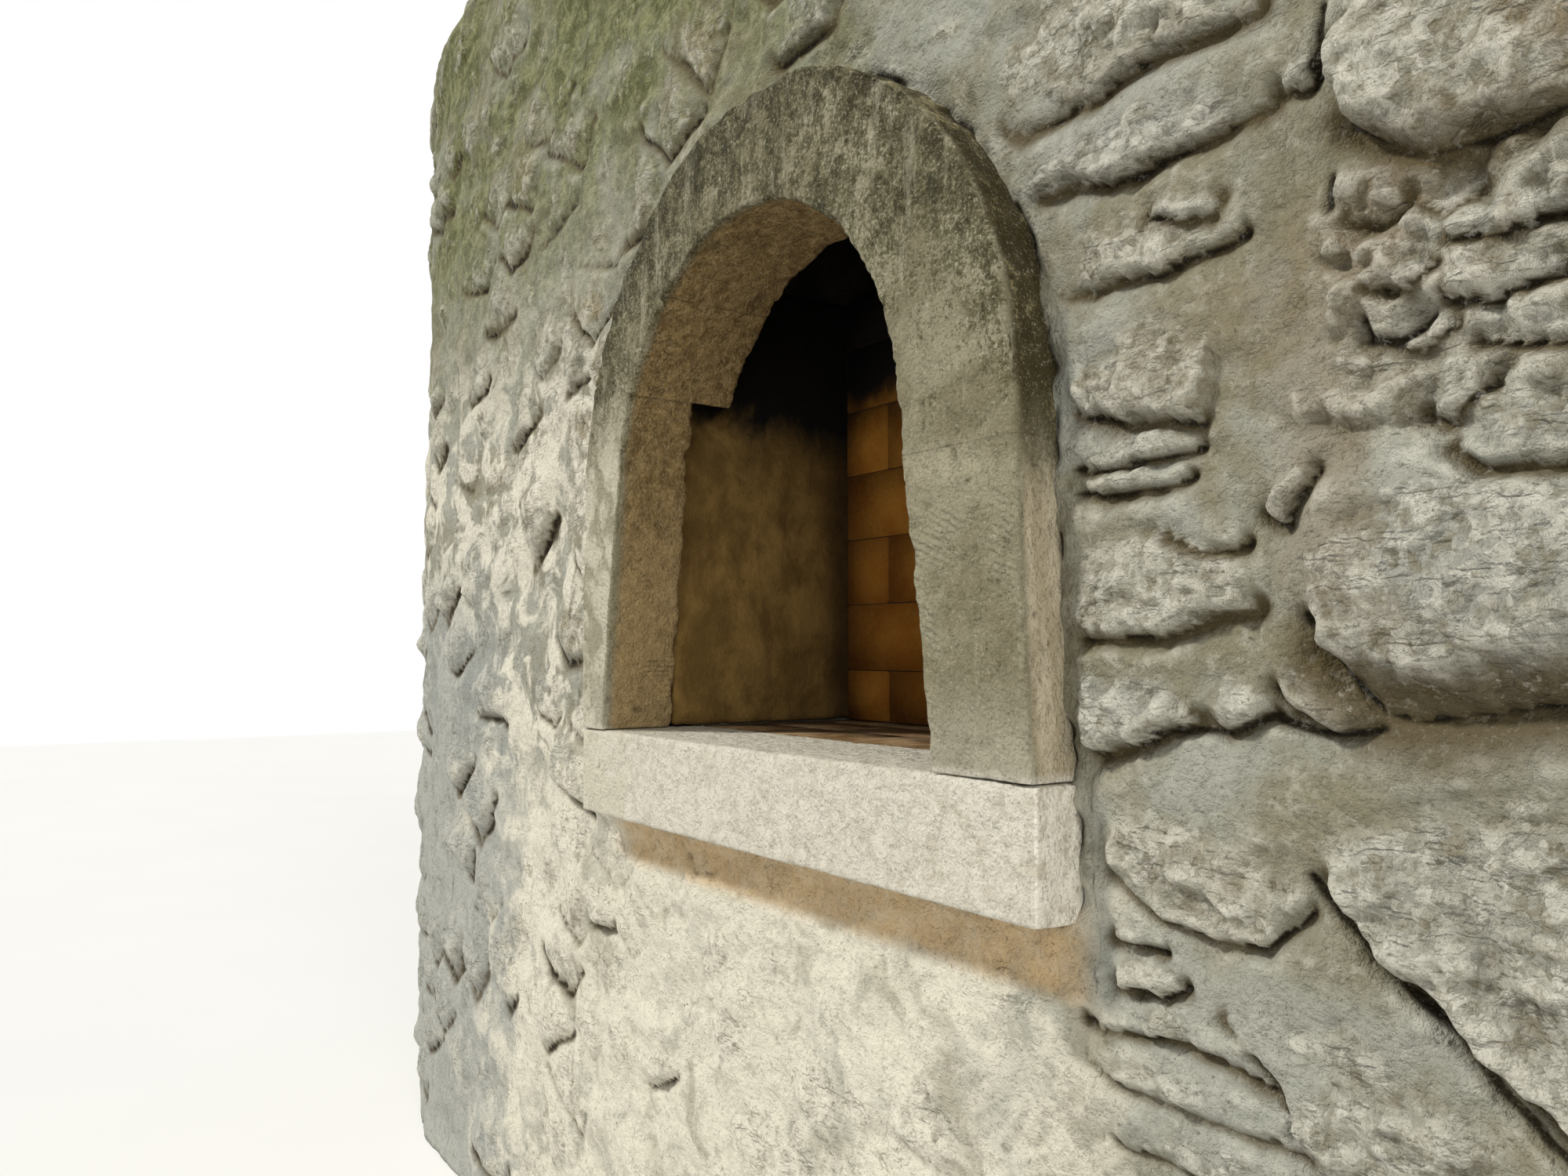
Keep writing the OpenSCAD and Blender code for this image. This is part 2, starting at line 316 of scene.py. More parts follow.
def growth_stains_and_sill_shadow(f, marks, colour):
    """Green growth on the upper left and the shoulders, brown runs upper right, and a warm painted shadow
    cast by the sill on the wall below it.
    """
    upper = f.span(f.plus(f.z, f.times(marks.cloud, 0.6)), 1.80, 2.45)
    upper_left = f.times(upper, f.span(marks.across, 0.66, -0.04))
    spread = f.span(f.noise(0.24, 3, 0.64, warp=0.4), 0.34, 0.56, 0.35, 0.95)
    damp = f.times(f.most(upper_left, f.span(f.z, 2.2, 2.75)), spread)
    green = f.mix(f.span(marks.mottle, 0.42, 0.60), paint(80, 83, 42), paint(124, 126, 84))
    colour = f.mix(damp, colour, green)
    runs = f.noise(0.20, 3, 0.68, at=f.stretch(1, 1, 0.6), warp=0.5)
    stain = f.times(f.span(f.plus(runs, f.times(marks.grain, 0.12)), 0.56, 0.70),
                    f.span(f.x, 0.55, 0.90, 0.10, 0.8), f.span(f.z, 1.06, 1.24, 0.22, 1.0))
    colour = f.mix(stain, colour, paint(124, 109, 84))
    # A warm tan strip painted where the sill's shadow falls on the wall below it
    painted_sill_shadow = f.times(f.span(f.z, BASE_Z - 0.085, BASE_Z - 0.060), f.span(f.z, BASE_Z + 0.03, BASE_Z),
                   f.span(f.x, SILL_LEFT, SILL_LEFT + 0.1),
                   f.span(f.x, SILL_RIGHT + 0.03, SILL_RIGHT - 0.02), marks.front)
    return f.mix(f.times(painted_sill_shadow, f.span(marks.mottle, 0.30, 0.60, 0.65, 0.95)), colour, paint(196, 168, 126))


def rubble_dirt_and_shade(f, marks, colour):
    """Dirt with painted shade in the hollows and under the stones, cracks painted near black as shade,
    painted highlights on the high spots, chips, holes and hairline cracks.
    """
    hollow = f.attribute("hollow")
    grime_and_shade = f.attribute("grime_and_shade")
    gap = f.attribute("gap")
    # Hollows are darkened as painted shade, and high spots lightened as a painted highlight
    colour = f.mix(f.span(hollow, 0.58, 1.0, 0.0, 0.36), colour, paint(98, 89, 62))
    colour = f.mix(f.span(hollow, 0.42, 0.08, 0.0, 0.45), colour, paint(204, 201, 187))
    # Dirt under the stones' lips, made darker still as painted shade
    grime_and_shade_share = f.span(f.plus(grime_and_shade, f.times(marks.mottle, 0.4)), 0.38, 1.15, 0.0, 0.88)
    colour = f.mix(grime_and_shade_share, colour, paint(80, 67, 38))
    # Cracks are painted near black as their shade
    colour = f.mix(f.span(gap, 0.15, 0.75), colour, paint(32, 26, 12))
    dark_chips = f.times(f.span(marks.chips, 0.54, 0.66), f.span(marks.bare, 0.0, 1.0, 0.18, 0.42))
    colour = f.mix(dark_chips, colour, paint(104, 97, 74))
    pale_chips = f.times(f.span(marks.chips, 0.44, 0.34), f.span(marks.bare, 0.0, 1.0, 0.10, 0.34))
    colour = f.mix(pale_chips, colour, paint(200, 197, 183))
    specks = f.times(f.span(marks.grain, 0.58, 0.70), f.span(marks.mottle, 0.40, 0.62, 0.20, 0.75))
    colour = f.mix(specks, colour, paint(84, 76, 52))
    colour = f.mix(f.span(marks.grain, 0.42, 0.30, 0.0, 0.16), colour, paint(212, 208, 194))
    holes = f.times(f.span(f.cells(0.019), 0.13, 0.05), f.span(marks.cloud, 0.46, 0.58))
    colour = f.mix(f.times(holes, 0.45), colour, paint(64, 55, 38))
    wander = f.plus(f.noise(0.15, 3, 0.62, at=f.stretch(1, 1, 1.5), warp=0.5), -0.5)
    thin = f.span(f.work("ABSOLUTE", [wander, 0.0]), 0.0050, 0.0010)
    hairline = f.times(thin, f.span(marks.patches, 0.51, 0.60))
    return f.mix(f.times(hairline, 0.40), colour, paint(84, 71, 52))


def rubble_bump(f, marks):
    """Shelves, chips and grain, in metres. They are deeper on bare stone than on mortar."""
    slant = math.radians(8)
    beds = f.plus(f.times(f.noise(0.075, 3, 0.58, at=f.stretch(1, 1, 2.8, turn=(0, slant, 0))), 8.0), -4.0)
    part = f.work("FRACT", [beds, 0.0])
    shelf = f.plus(beds, f.times(part, -1.0), f.span(part, 0.50, 1.0))
    return f.plus(f.times(shelf, f.span(marks.bare, 0.1, 1.0, 0.0005, 0.0022)),
                  f.times(marks.chip, f.span(marks.bare, 0.0, 1.0, 0.32, 0.80)),
                  f.times(marks.flake, f.span(marks.bare, 0.0, 1.0, 0.40, 0.80)),
                  f.times(marks.chips, f.span(marks.bare, 0.0, 1.0, 0.0065, 0.0080)),
                  f.times(marks.grain, 0.0040))


def limewashed_rubble():
    """Field stones in mortar under old limewash. The relief's marks come as attributes of the mesh."""
    f = Finish("limewashed_rubble")
    marks = SimpleNamespace(
        bare=f.attribute("bare"),
        cloud=f.noise(0.19, 3, 0.62, warp=0.5),
        mottle=f.noise(0.034, 5, 0.72, warp=0.35),
        grain=f.noise(0.0058, 3, 0.80),
        patches=f.noise(0.10, 3, 0.68, warp=0.6),
        chips=f.noise(0.013, 3, 0.70),
        front=f.span(f.y, -0.30, -0.60))
    marks.chip, marks.chip_tone = f.facets(0.023)
    marks.flake, marks.flake_tone = f.facets(0.0095)
    # A ragged measure from left to right, so that no colour ends in a straight line
    marks.across = f.plus(f.x, f.times(f.plus(marks.cloud, marks.patches, -1.0), 0.9))
    colour = f.mix(marks.bare, mortar_colour(f, marks), stone_colour(f, marks))
    for change in (limewash, growth_stains_and_sill_shadow, rubble_dirt_and_shade):
        colour = change(f, marks, colour)
    return f.done(colour, 0.93, rubble_bump(f, marks))


def lichened_stone(f, marks):
    """Grey stone under a fine dark mottle of lichen, thick on the crown and the outer edge."""
    colour = f.mix(f.span(marks.cloud, 0.38, 0.62), paint(122, 116, 91), paint(147, 142, 118))
    up = f.span(f.z, RIGHT_JOINT_Z - 0.02, SPRING_Z + 0.30)
    far = f.span(f.x, 0.38, -0.10)
    edge = f.times(f.attribute("rim"), f.span(f.z, RIGHT_JOINT_Z - 0.05, SPRING_Z + 0.05))
    cover = f.plus(f.times(up, 0.125), f.times(up, far, 0.01), f.times(edge, 0.075),
                   f.times(marks.clumps, up, 0.45), f.times(f.plus(marks.chip_tone, -0.5), up, 0.06))
    dots = f.plus(f.times(marks.mottle, 0.60), f.times(marks.grain, 0.40), cover)
    colour = f.mix(f.span(dots, 0.56, 0.65, 0.0, 0.88), colour, paint(84, 80, 53))
    colour = f.mix(f.span(dots, 0.65, 0.75, 0.0, 0.92), colour, paint(44, 39, 16))
    smear = f.times(f.span(f.noise(0.030, 6, 0.70, at=f.stretch(1, 1, 0.16)), 0.54, 0.68), 0.5)
    return f.mix(smear, colour, paint(166, 161, 138))


def outer_side(f, marks, colour):
    """The outer side is bare tan stone below the joint, and black with growth above it."""
    streaks = f.noise(0.02, 6, 0.66, at=f.stretch(1, 1, 0.22))
    tan = f.mix(f.span(streaks, 0.38, 0.62), paint(176, 163, 136), paint(200, 188, 163))
    low = f.span(f.plus(f.z, f.times(marks.mottle, 0.09)), RIGHT_JOINT_Z + 0.055, RIGHT_JOINT_Z - 0.03)
    colour = f.mix(f.times(marks.side, low), colour, tan)
    high = f.span(f.plus(f.z, f.times(marks.mottle, 0.12)), RIGHT_JOINT_Z - 0.02, RIGHT_JOINT_Z + 0.12)
    flecks = f.plus(f.times(marks.mottle, 0.5), f.times(marks.grain, 0.5), f.times(marks.clumps, -0.7))
    black = f.mix(f.span(flecks, 0.52, 0.62), paint(50, 42, 10), paint(150, 140, 104))
    return f.mix(f.times(marks.side, high, 0.92), colour, black)


def whitened_foot(f, marks, colour):
    """The sill and the foot of the jambs are washed white, a pale patch on the left jamb by the springing is
    partly painted sunlight, and mortar is daubed over the right joint.
    """
    white = f.mix(f.span(marks.mottle, 0.36, 0.56), paint(206, 198, 180), paint(242, 237, 224))
    colour = f.mix(f.span(f.z, HEARTH_Z + 0.012, HEARTH_Z - 0.004, 0.0, 0.95), colour, white)
    low = f.span(f.plus(f.z, f.times(marks.cloud, 0.12)), HEARTH_Z + 0.17, HEARTH_Z + 0.06)
    colour = f.mix(f.times(low, f.span(marks.side, 0.6, 0.2), 0.45), colour, paint(186, 181, 164))
    # worn: pale cream wash on the left jamb's front, partly painted sunlight
    worn = f.times(f.span(f.x, -0.31, -0.34), f.span(f.z, 1.52, 1.36), f.span(marks.reveal, 0.6, 0.2),
                   f.span(marks.cloud, 0.42, 0.52, 0.35, 0.95))
    colour = f.mix(f.times(worn, 0.85), colour, paint(206, 200, 180))
    daub = f.times(f.span(f.z, RIGHT_JOINT_Z - 0.045, RIGHT_JOINT_Z - 0.020),
                   f.span(f.z, RIGHT_JOINT_Z + 0.018, RIGHT_JOINT_Z - 0.004),
                   f.span(f.x, 0.30, 0.34), f.span(f.x, 0.47, 0.42), f.span(marks.mottle, 0.42, 0.52))
    return f.mix(f.times(daub, 0.35), colour, paint(190, 183, 158))


def smoked_and_shaded_reveal(f, marks, colour):
    """Warm reveals, smoke stain together with painted shade and warm bounce light, with dark pits near the
    front.
    """
    # The reveals' warm brown is smoke stain together with painted shade
    smoke = f.mix(f.span(marks.mottle, 0.38, 0.62), paint(108, 85, 46), paint(154, 130, 86))
    smoke = f.mix(f.span(f.z, HEARTH_Z + 0.45, HEARTH_Z + 0.15, 0.0, 0.5), smoke, paint(178, 154, 110))
    front = f.span(f.y, FRONT_Y + 0.10, FRONT_Y + 0.02)
    pocks = f.times(f.span(marks.grain, 0.56, 0.66), f.span(f.plus(front, marks.mottle), 0.75, 1.35),
                    f.span(f.z, HEARTH_Z + 0.15, SPRING_Z))
    smoke = f.mix(f.times(pocks, 0.85), smoke, paint(52, 38, 18))
    inside = f.times(marks.reveal, f.span(f.y, FRONT_Y + 0.004, FRONT_Y + 0.022))
    return f.mix(f.times(inside, 0.94), colour, smoke)


def dressed_dirt_and_shade(f, marks, colour):
    """Dirt with painted shade in the hollows, dirt in the joints, and a fine dark and pale grain."""
    # Hollows are darkened as painted shade together with dirt
    colour = f.mix(f.span(f.attribute("hollow"), 0.35, 0.9, 0.0, 0.55), colour, paint(74, 66, 44))
    dark_joint = f.times(f.attribute("joint"), f.span(marks.mottle, 0.35, 0.60, 0.10, 0.50))
    colour = f.mix(dark_joint, colour, paint(70, 62, 44))
    colour = f.mix(f.times(f.span(marks.grain, 0.56, 0.68), 0.45), colour, paint(88, 82, 58))
    return f.mix(f.span(marks.grain, 0.45, 0.30, 0.0, 0.36), colour, paint(206, 200, 180))


def chisel_strokes(f, marks):
    """Short strokes of the chisel on the jambs, set in small patches."""
    slant = math.radians(-22)
    shift = f.add("ShaderNodeVectorMath", {
        0: f.cells(0.042, at=f.stretch(1, 1, 0.8), output="Color"), 1: (0.02, 0.02, 0.02),
        2: f.stretch(turn=(0, slant, 0))}, operation="MULTIPLY_ADD")
    stroke = f.add("ShaderNodeTexWave", {
        "Vector": shift.outputs[0], "Scale": 40, "Distortion": 2.6, "Detail": 2.0, "Detail Scale": 3.0},
        bands_direction="Z", wave_profile="SIN")
    tooled = f.times(f.span(f.z, RIGHT_JOINT_Z - 0.02, RIGHT_JOINT_Z - 0.10),
                     f.span(f.z, HEARTH_Z + 0.02, HEARTH_Z + 0.06),
                     f.span(marks.cloud, 0.46, 0.58), f.span(marks.side, 0.5, 0.1))
    return f.times(stroke.outputs["Fac"], tooled)


def dressed_limestone():
    """The surround's limestone. The marks of its wear come as attributes of the mesh."""
    f = Finish("dressed_limestone")
    marks = SimpleNamespace(
        reveal=f.attribute("reveal"),
        side=f.attribute("side"),
        cloud=f.noise(0.11, 4, 0.64, warp=0.5),
        mottle=f.noise(0.020, 6, 0.80, warp=0.5),
        grain=f.noise(0.0042, 3, 0.80),
        clumps=f.plus(f.noise(0.055, 4, 0.66, at=f.stretch(1, 1, 0.6), warp=0.6), -0.5))
    chip, marks.chip_tone = f.facets(0.012)
    colour = lichened_stone(f, marks)
    for change in (outer_side, whitened_foot, smoked_and_shaded_reveal, dressed_dirt_and_shade):
        colour = change(f, marks, colour)
    pits = f.times(f.span(f.cells(0.0095), 0.30, 0.04), f.span(marks.mottle, 0.45, 0.6))
    height = f.plus(f.times(f.noise(0.024, 3, 0.70), 0.0130), f.times(marks.grain, 0.0046),
                    f.times(chip, 0.50), f.times(chisel_strokes(f, marks), 0.0022), f.times(pits, -0.0016))
    return f.done(colour, 0.9, height)


def soot_line(f, height, depth):
    """1 where smoke has blackened the chamber: high up, and ragged below."""
    wave = f.noise(0.11, 5, 0.62, at=f.stretch(1.5, 1.5, 0.9), warp=0.4)
    ragged = f.plus(f.z, f.times(wave, depth), -0.5 * depth)
    return f.span(ragged, height - 0.035, height + 0.045)


def smoked_plaster():
    f = Finish("smoked_plaster")
    blots = f.noise(0.090, 7, 0.62, warp=0.2)
    colour = f.mix(f.span(blots, 0.36, 0.64), paint(102, 80, 40), paint(138, 111, 62))
    runs = f.span(f.noise(0.045, 5, 0.6, at=f.stretch(1, 1, 0.20)), 0.52, 0.70)
    colour = f.mix(f.times(runs, 0.55), colour, paint(84, 62, 32))
    # Painted shade: the plaster darkens towards the corner by the firebricks
    corner = f.span(f.y, BRICK_Y - 0.07, BRICK_Y - 0.005)
    colour = f.mix(f.times(corner, 0.8), colour, paint(56, 38, 18))
    colour = f.mix(soot_line(f, 1.47, 0.16), colour, paint(14, 12, 9))
    height = f.plus(f.times(f.noise(0.045, 7, 0.62), 0.009), f.times(f.noise(0.005, 4, 0.75), 0.0018))
    return f.done(colour, 0.88, height)


def buff_firebrick():
    f = Finish("buff_firebrick")
    blush = f.span(f.noise(0.10, 5, 0.6), 0.38, 0.62)
    colour = f.mix(blush, paint(166, 106, 33), paint(184, 128, 50))
    colour = f.mix(f.span(f.attribute("tone"), 0.2, 1.0, 0.0, 0.55), colour, paint(138, 84, 24))
    speck = f.span(f.noise(0.006, 4, 0.7), 0.58, 0.68)
    colour = f.mix(f.times(speck, 0.5), colour, paint(92, 60, 24))
    flat = f.span(f.z, HEARTH_Z + 0.004, HEARTH_Z - 0.002)
    ash = f.mix(f.span(f.noise(0.05, 6, 0.66), 0.38, 0.6), paint(86, 72, 50), paint(142, 126, 98))
    colour = f.mix(f.times(flat, 0.9), colour, ash)
    colour = f.mix(soot_line(f, 1.535, 0.10), colour, paint(18, 13, 8))
    return f.done(colour, 0.85, f.times(f.noise(0.012, 6, 0.68), 0.0035))


def dark_joint():
    f = Finish("sooty_joint")
    colour = f.mix(f.noise(0.02, 4), paint(36, 26, 16), paint(78, 58, 36))
    return f.done(colour, 0.95, f.times(f.noise(0.006, 4), 0.002))


def soot_crust():
    f = Finish("soot_crust")
    colour = f.mix(f.span(f.noise(0.09, 6), 0.4, 0.7), paint(16, 14, 11), paint(44, 37, 28))
    return f.done(colour, 0.85, f.times(f.noise(0.03, 6, 0.7), 0.012))


def studio_floor():
    f = Finish("studio_floor")
    colour = f.mix(f.noise(0.8, 2), (0.80, 0.80, 0.79), (0.83, 0.83, 0.82))
    return f.done(colour, 0.9)


# Noise over space, the same on every run

def chance(ix, iy, iz, seed):
    """A fixed number from 0 to 1 for each point of a lattice."""
    h = (ix * 374761393 + iy * 668265263 + iz * 1442695041 + seed * 974711) & 0xFFFFFFFF
    h = ((h ^ (h >> 13)) * 1274126177) & 0xFFFFFFFF
    return ((h ^ (h >> 16)) & 0xFFFF) / 0xFFFF


def smooth(x):
    return x * x * (3 - 2 * x)


def one_noise(p, seed):
    cell = np.floor(p).astype(np.int64)
    f = smooth(p - cell)
    total = np.zeros(len(p))
    for dx in (0, 1):
        wx = f[:, 0] if dx else 1 - f[:, 0]
        for dy in (0, 1):
            wy = f[:, 1] if dy else 1 - f[:, 1]
            for dz in (0, 1):
                wz = f[:, 2] if dz else 1 - f[:, 2]
                total += wx * wy * wz * chance(cell[:, 0] + dx, cell[:, 1] + dy, cell[:, 2] + dz, seed)
    return total * 2 - 1


def lumps(p, size, seed, octaves=4, gain=0.5):
    """Layered noise from about -1 to 1, with lumps of the given size in metres."""
    total = np.zeros(len(p))
    weight = 1.0
    whole = 0.0
    for k in range(octaves):
        total += weight * one_noise(p / size * 2 ** k + 17.3 * k, seed + 31 * k)
        whole += weight
        weight *= gain
    return total / whole


def flakes(p, size, seed):
    """Broken stone from about -1 to 1: every flake is a small plane with a slope of its own."""
    q = p / size * (1.0, 1.0, 1.6)
    cell = np.floor(q).astype(np.int64)
    nearest = np.full(len(p), 9.0)
    value = np.zeros(len(p))
    around = (-1, 0, 1)
    for dx, dy, dz in [(a, b, c) for a in around for b in around for c in around]:
        ix = cell[:, 0] + dx
        iy = cell[:, 1] + dy
        iz = cell[:, 2] + dz
        ax = q[:, 0] - ix - chance(ix, iy, iz, seed)
        ay = q[:, 1] - iy - chance(ix, iy, iz, seed + 1)
        az = q[:, 2] - iz - chance(ix, iy, iz, seed + 2)
        away = ax * ax + ay * ay + az * az
        closer = away < nearest
        plane = ax * (chance(ix, iy, iz, seed + 3) - 0.5) + az * (chance(ix, iy, iz, seed + 4) - 0.6)
        nearest = np.where(closer, away, nearest)
        value = np.where(closer, 1.6 * plane + 0.5 * (chance(ix, iy, iz, seed + 5) - 0.5), value)
    return value


def step(x, low, high):
    """Runs smoothly from 0 at low to 1 at high."""
    return smooth(np.clip((x - low) / (high - low), 0, 1))


def ledges(p, size, seed):
    """Broken beds of stone from about -1 to 1: level shelves with a short drop from one to the next."""
    n = lumps(p * (1.0, 1.0, 1.9), size, seed, 4, 0.55) * 4
    shelf = np.floor(n)
    return (shelf + step(n - shelf, 0.50, 1.0)) / 4


# The wall unrolled: s runs round it, t runs up its face and over the shoulder

ELLIPSE_STEPS = 400
RIM_INSET = 0.36
LEAN_RISE = TURN_Z - SHOULDER_Z
LEAN_INSET = LEAN_RISE * math.tan(LEAN)
LEAN_LENGTH = LEAN_RISE / math.cos(LEAN)
TURN_LENGTH = TURN_R * math.pi / 2
T_LEAN = SHOULDER_Z + LEAN_LENGTH
T_TURN = T_LEAN + TURN_LENGTH
T_RIM = T_TURN + RIM_INSET - LEAN_INSET - TURN_R + 0.06

end_angles = np.linspace(0, math.pi, ELLIPSE_STEPS + 1)
end_points = np.stack([END_REACH * np.sin(end_angles), -HALF_T * np.cos(end_angles)], 1)
end_lengths = np.concatenate([[0], np.cumsum(np.linalg.norm(np.diff(end_points, axis=0), axis=1))])
END_LENGTH = end_lengths[-1]
S_BACK = STRAIGHT_X + END_LENGTH
S_HALF = S_BACK + STRAIGHT_X


def profile(t):
    """Inset, height and the tilt of the face at t up the wall."""
    lean_part = np.clip(t - SHOULDER_Z, 0, LEAN_LENGTH)
    turn_angle = np.clip((t - T_LEAN) / TURN_R, 0, math.pi / 2)
    flat_part = np.clip(t - T_TURN, 0, None)
    inset = lean_part * math.sin(LEAN) + TURN_R * (1 - np.cos(turn_angle)) + flat_part
    height = np.clip(t, 0, SHOULDER_Z) + lean_part * math.cos(LEAN) + TURN_R * np.sin(turn_angle)
    leaning = LEAN * step(t, SHOULDER_Z - 0.05, SHOULDER_Z + 0.1)
    return inset, height, np.maximum(leaning, turn_angle)


def on_wall(s, t):
    """Points and outward normals of the plain wall at s and t."""
    inset, z, tilt = profile(t)
    side = np.where(s < 0, -1.0, 1.0)
    a = np.abs(s)
    angle = np.interp(a - STRAIGHT_X, end_lengths, end_angles)
    reach = END_REACH - inset
    half = HALF_T - inset
    front = a <= STRAIGHT_X
    back = a >= S_BACK
    x = np.where(front, a, np.where(back, S_HALF - a, STRAIGHT_X + reach * np.sin(angle)))
    y = np.where(front, -half, np.where(back, half, -half * np.cos(angle)))
    nx = np.where(front | back, 0.0, half * np.sin(angle))
    ny = np.where(front, -1.0, np.where(back, 1.0, -reach * np.cos(angle)))
    size = np.hypot(nx, ny)
    point = np.stack([side * x, MID_Y + y, z], -1)
    normal = np.stack([side * nx / size * np.cos(tilt), ny / size * np.cos(tilt), np.sin(tilt)], -1)
    return point, normal


# A stone's outline runs round in s and t. It stands out by proud, and belly is how much of that it
# loses towards its foot. Tone runs from grey at 0 to tan at 1.
Stone = namedtuple("Stone", "outline proud belly tone seed")

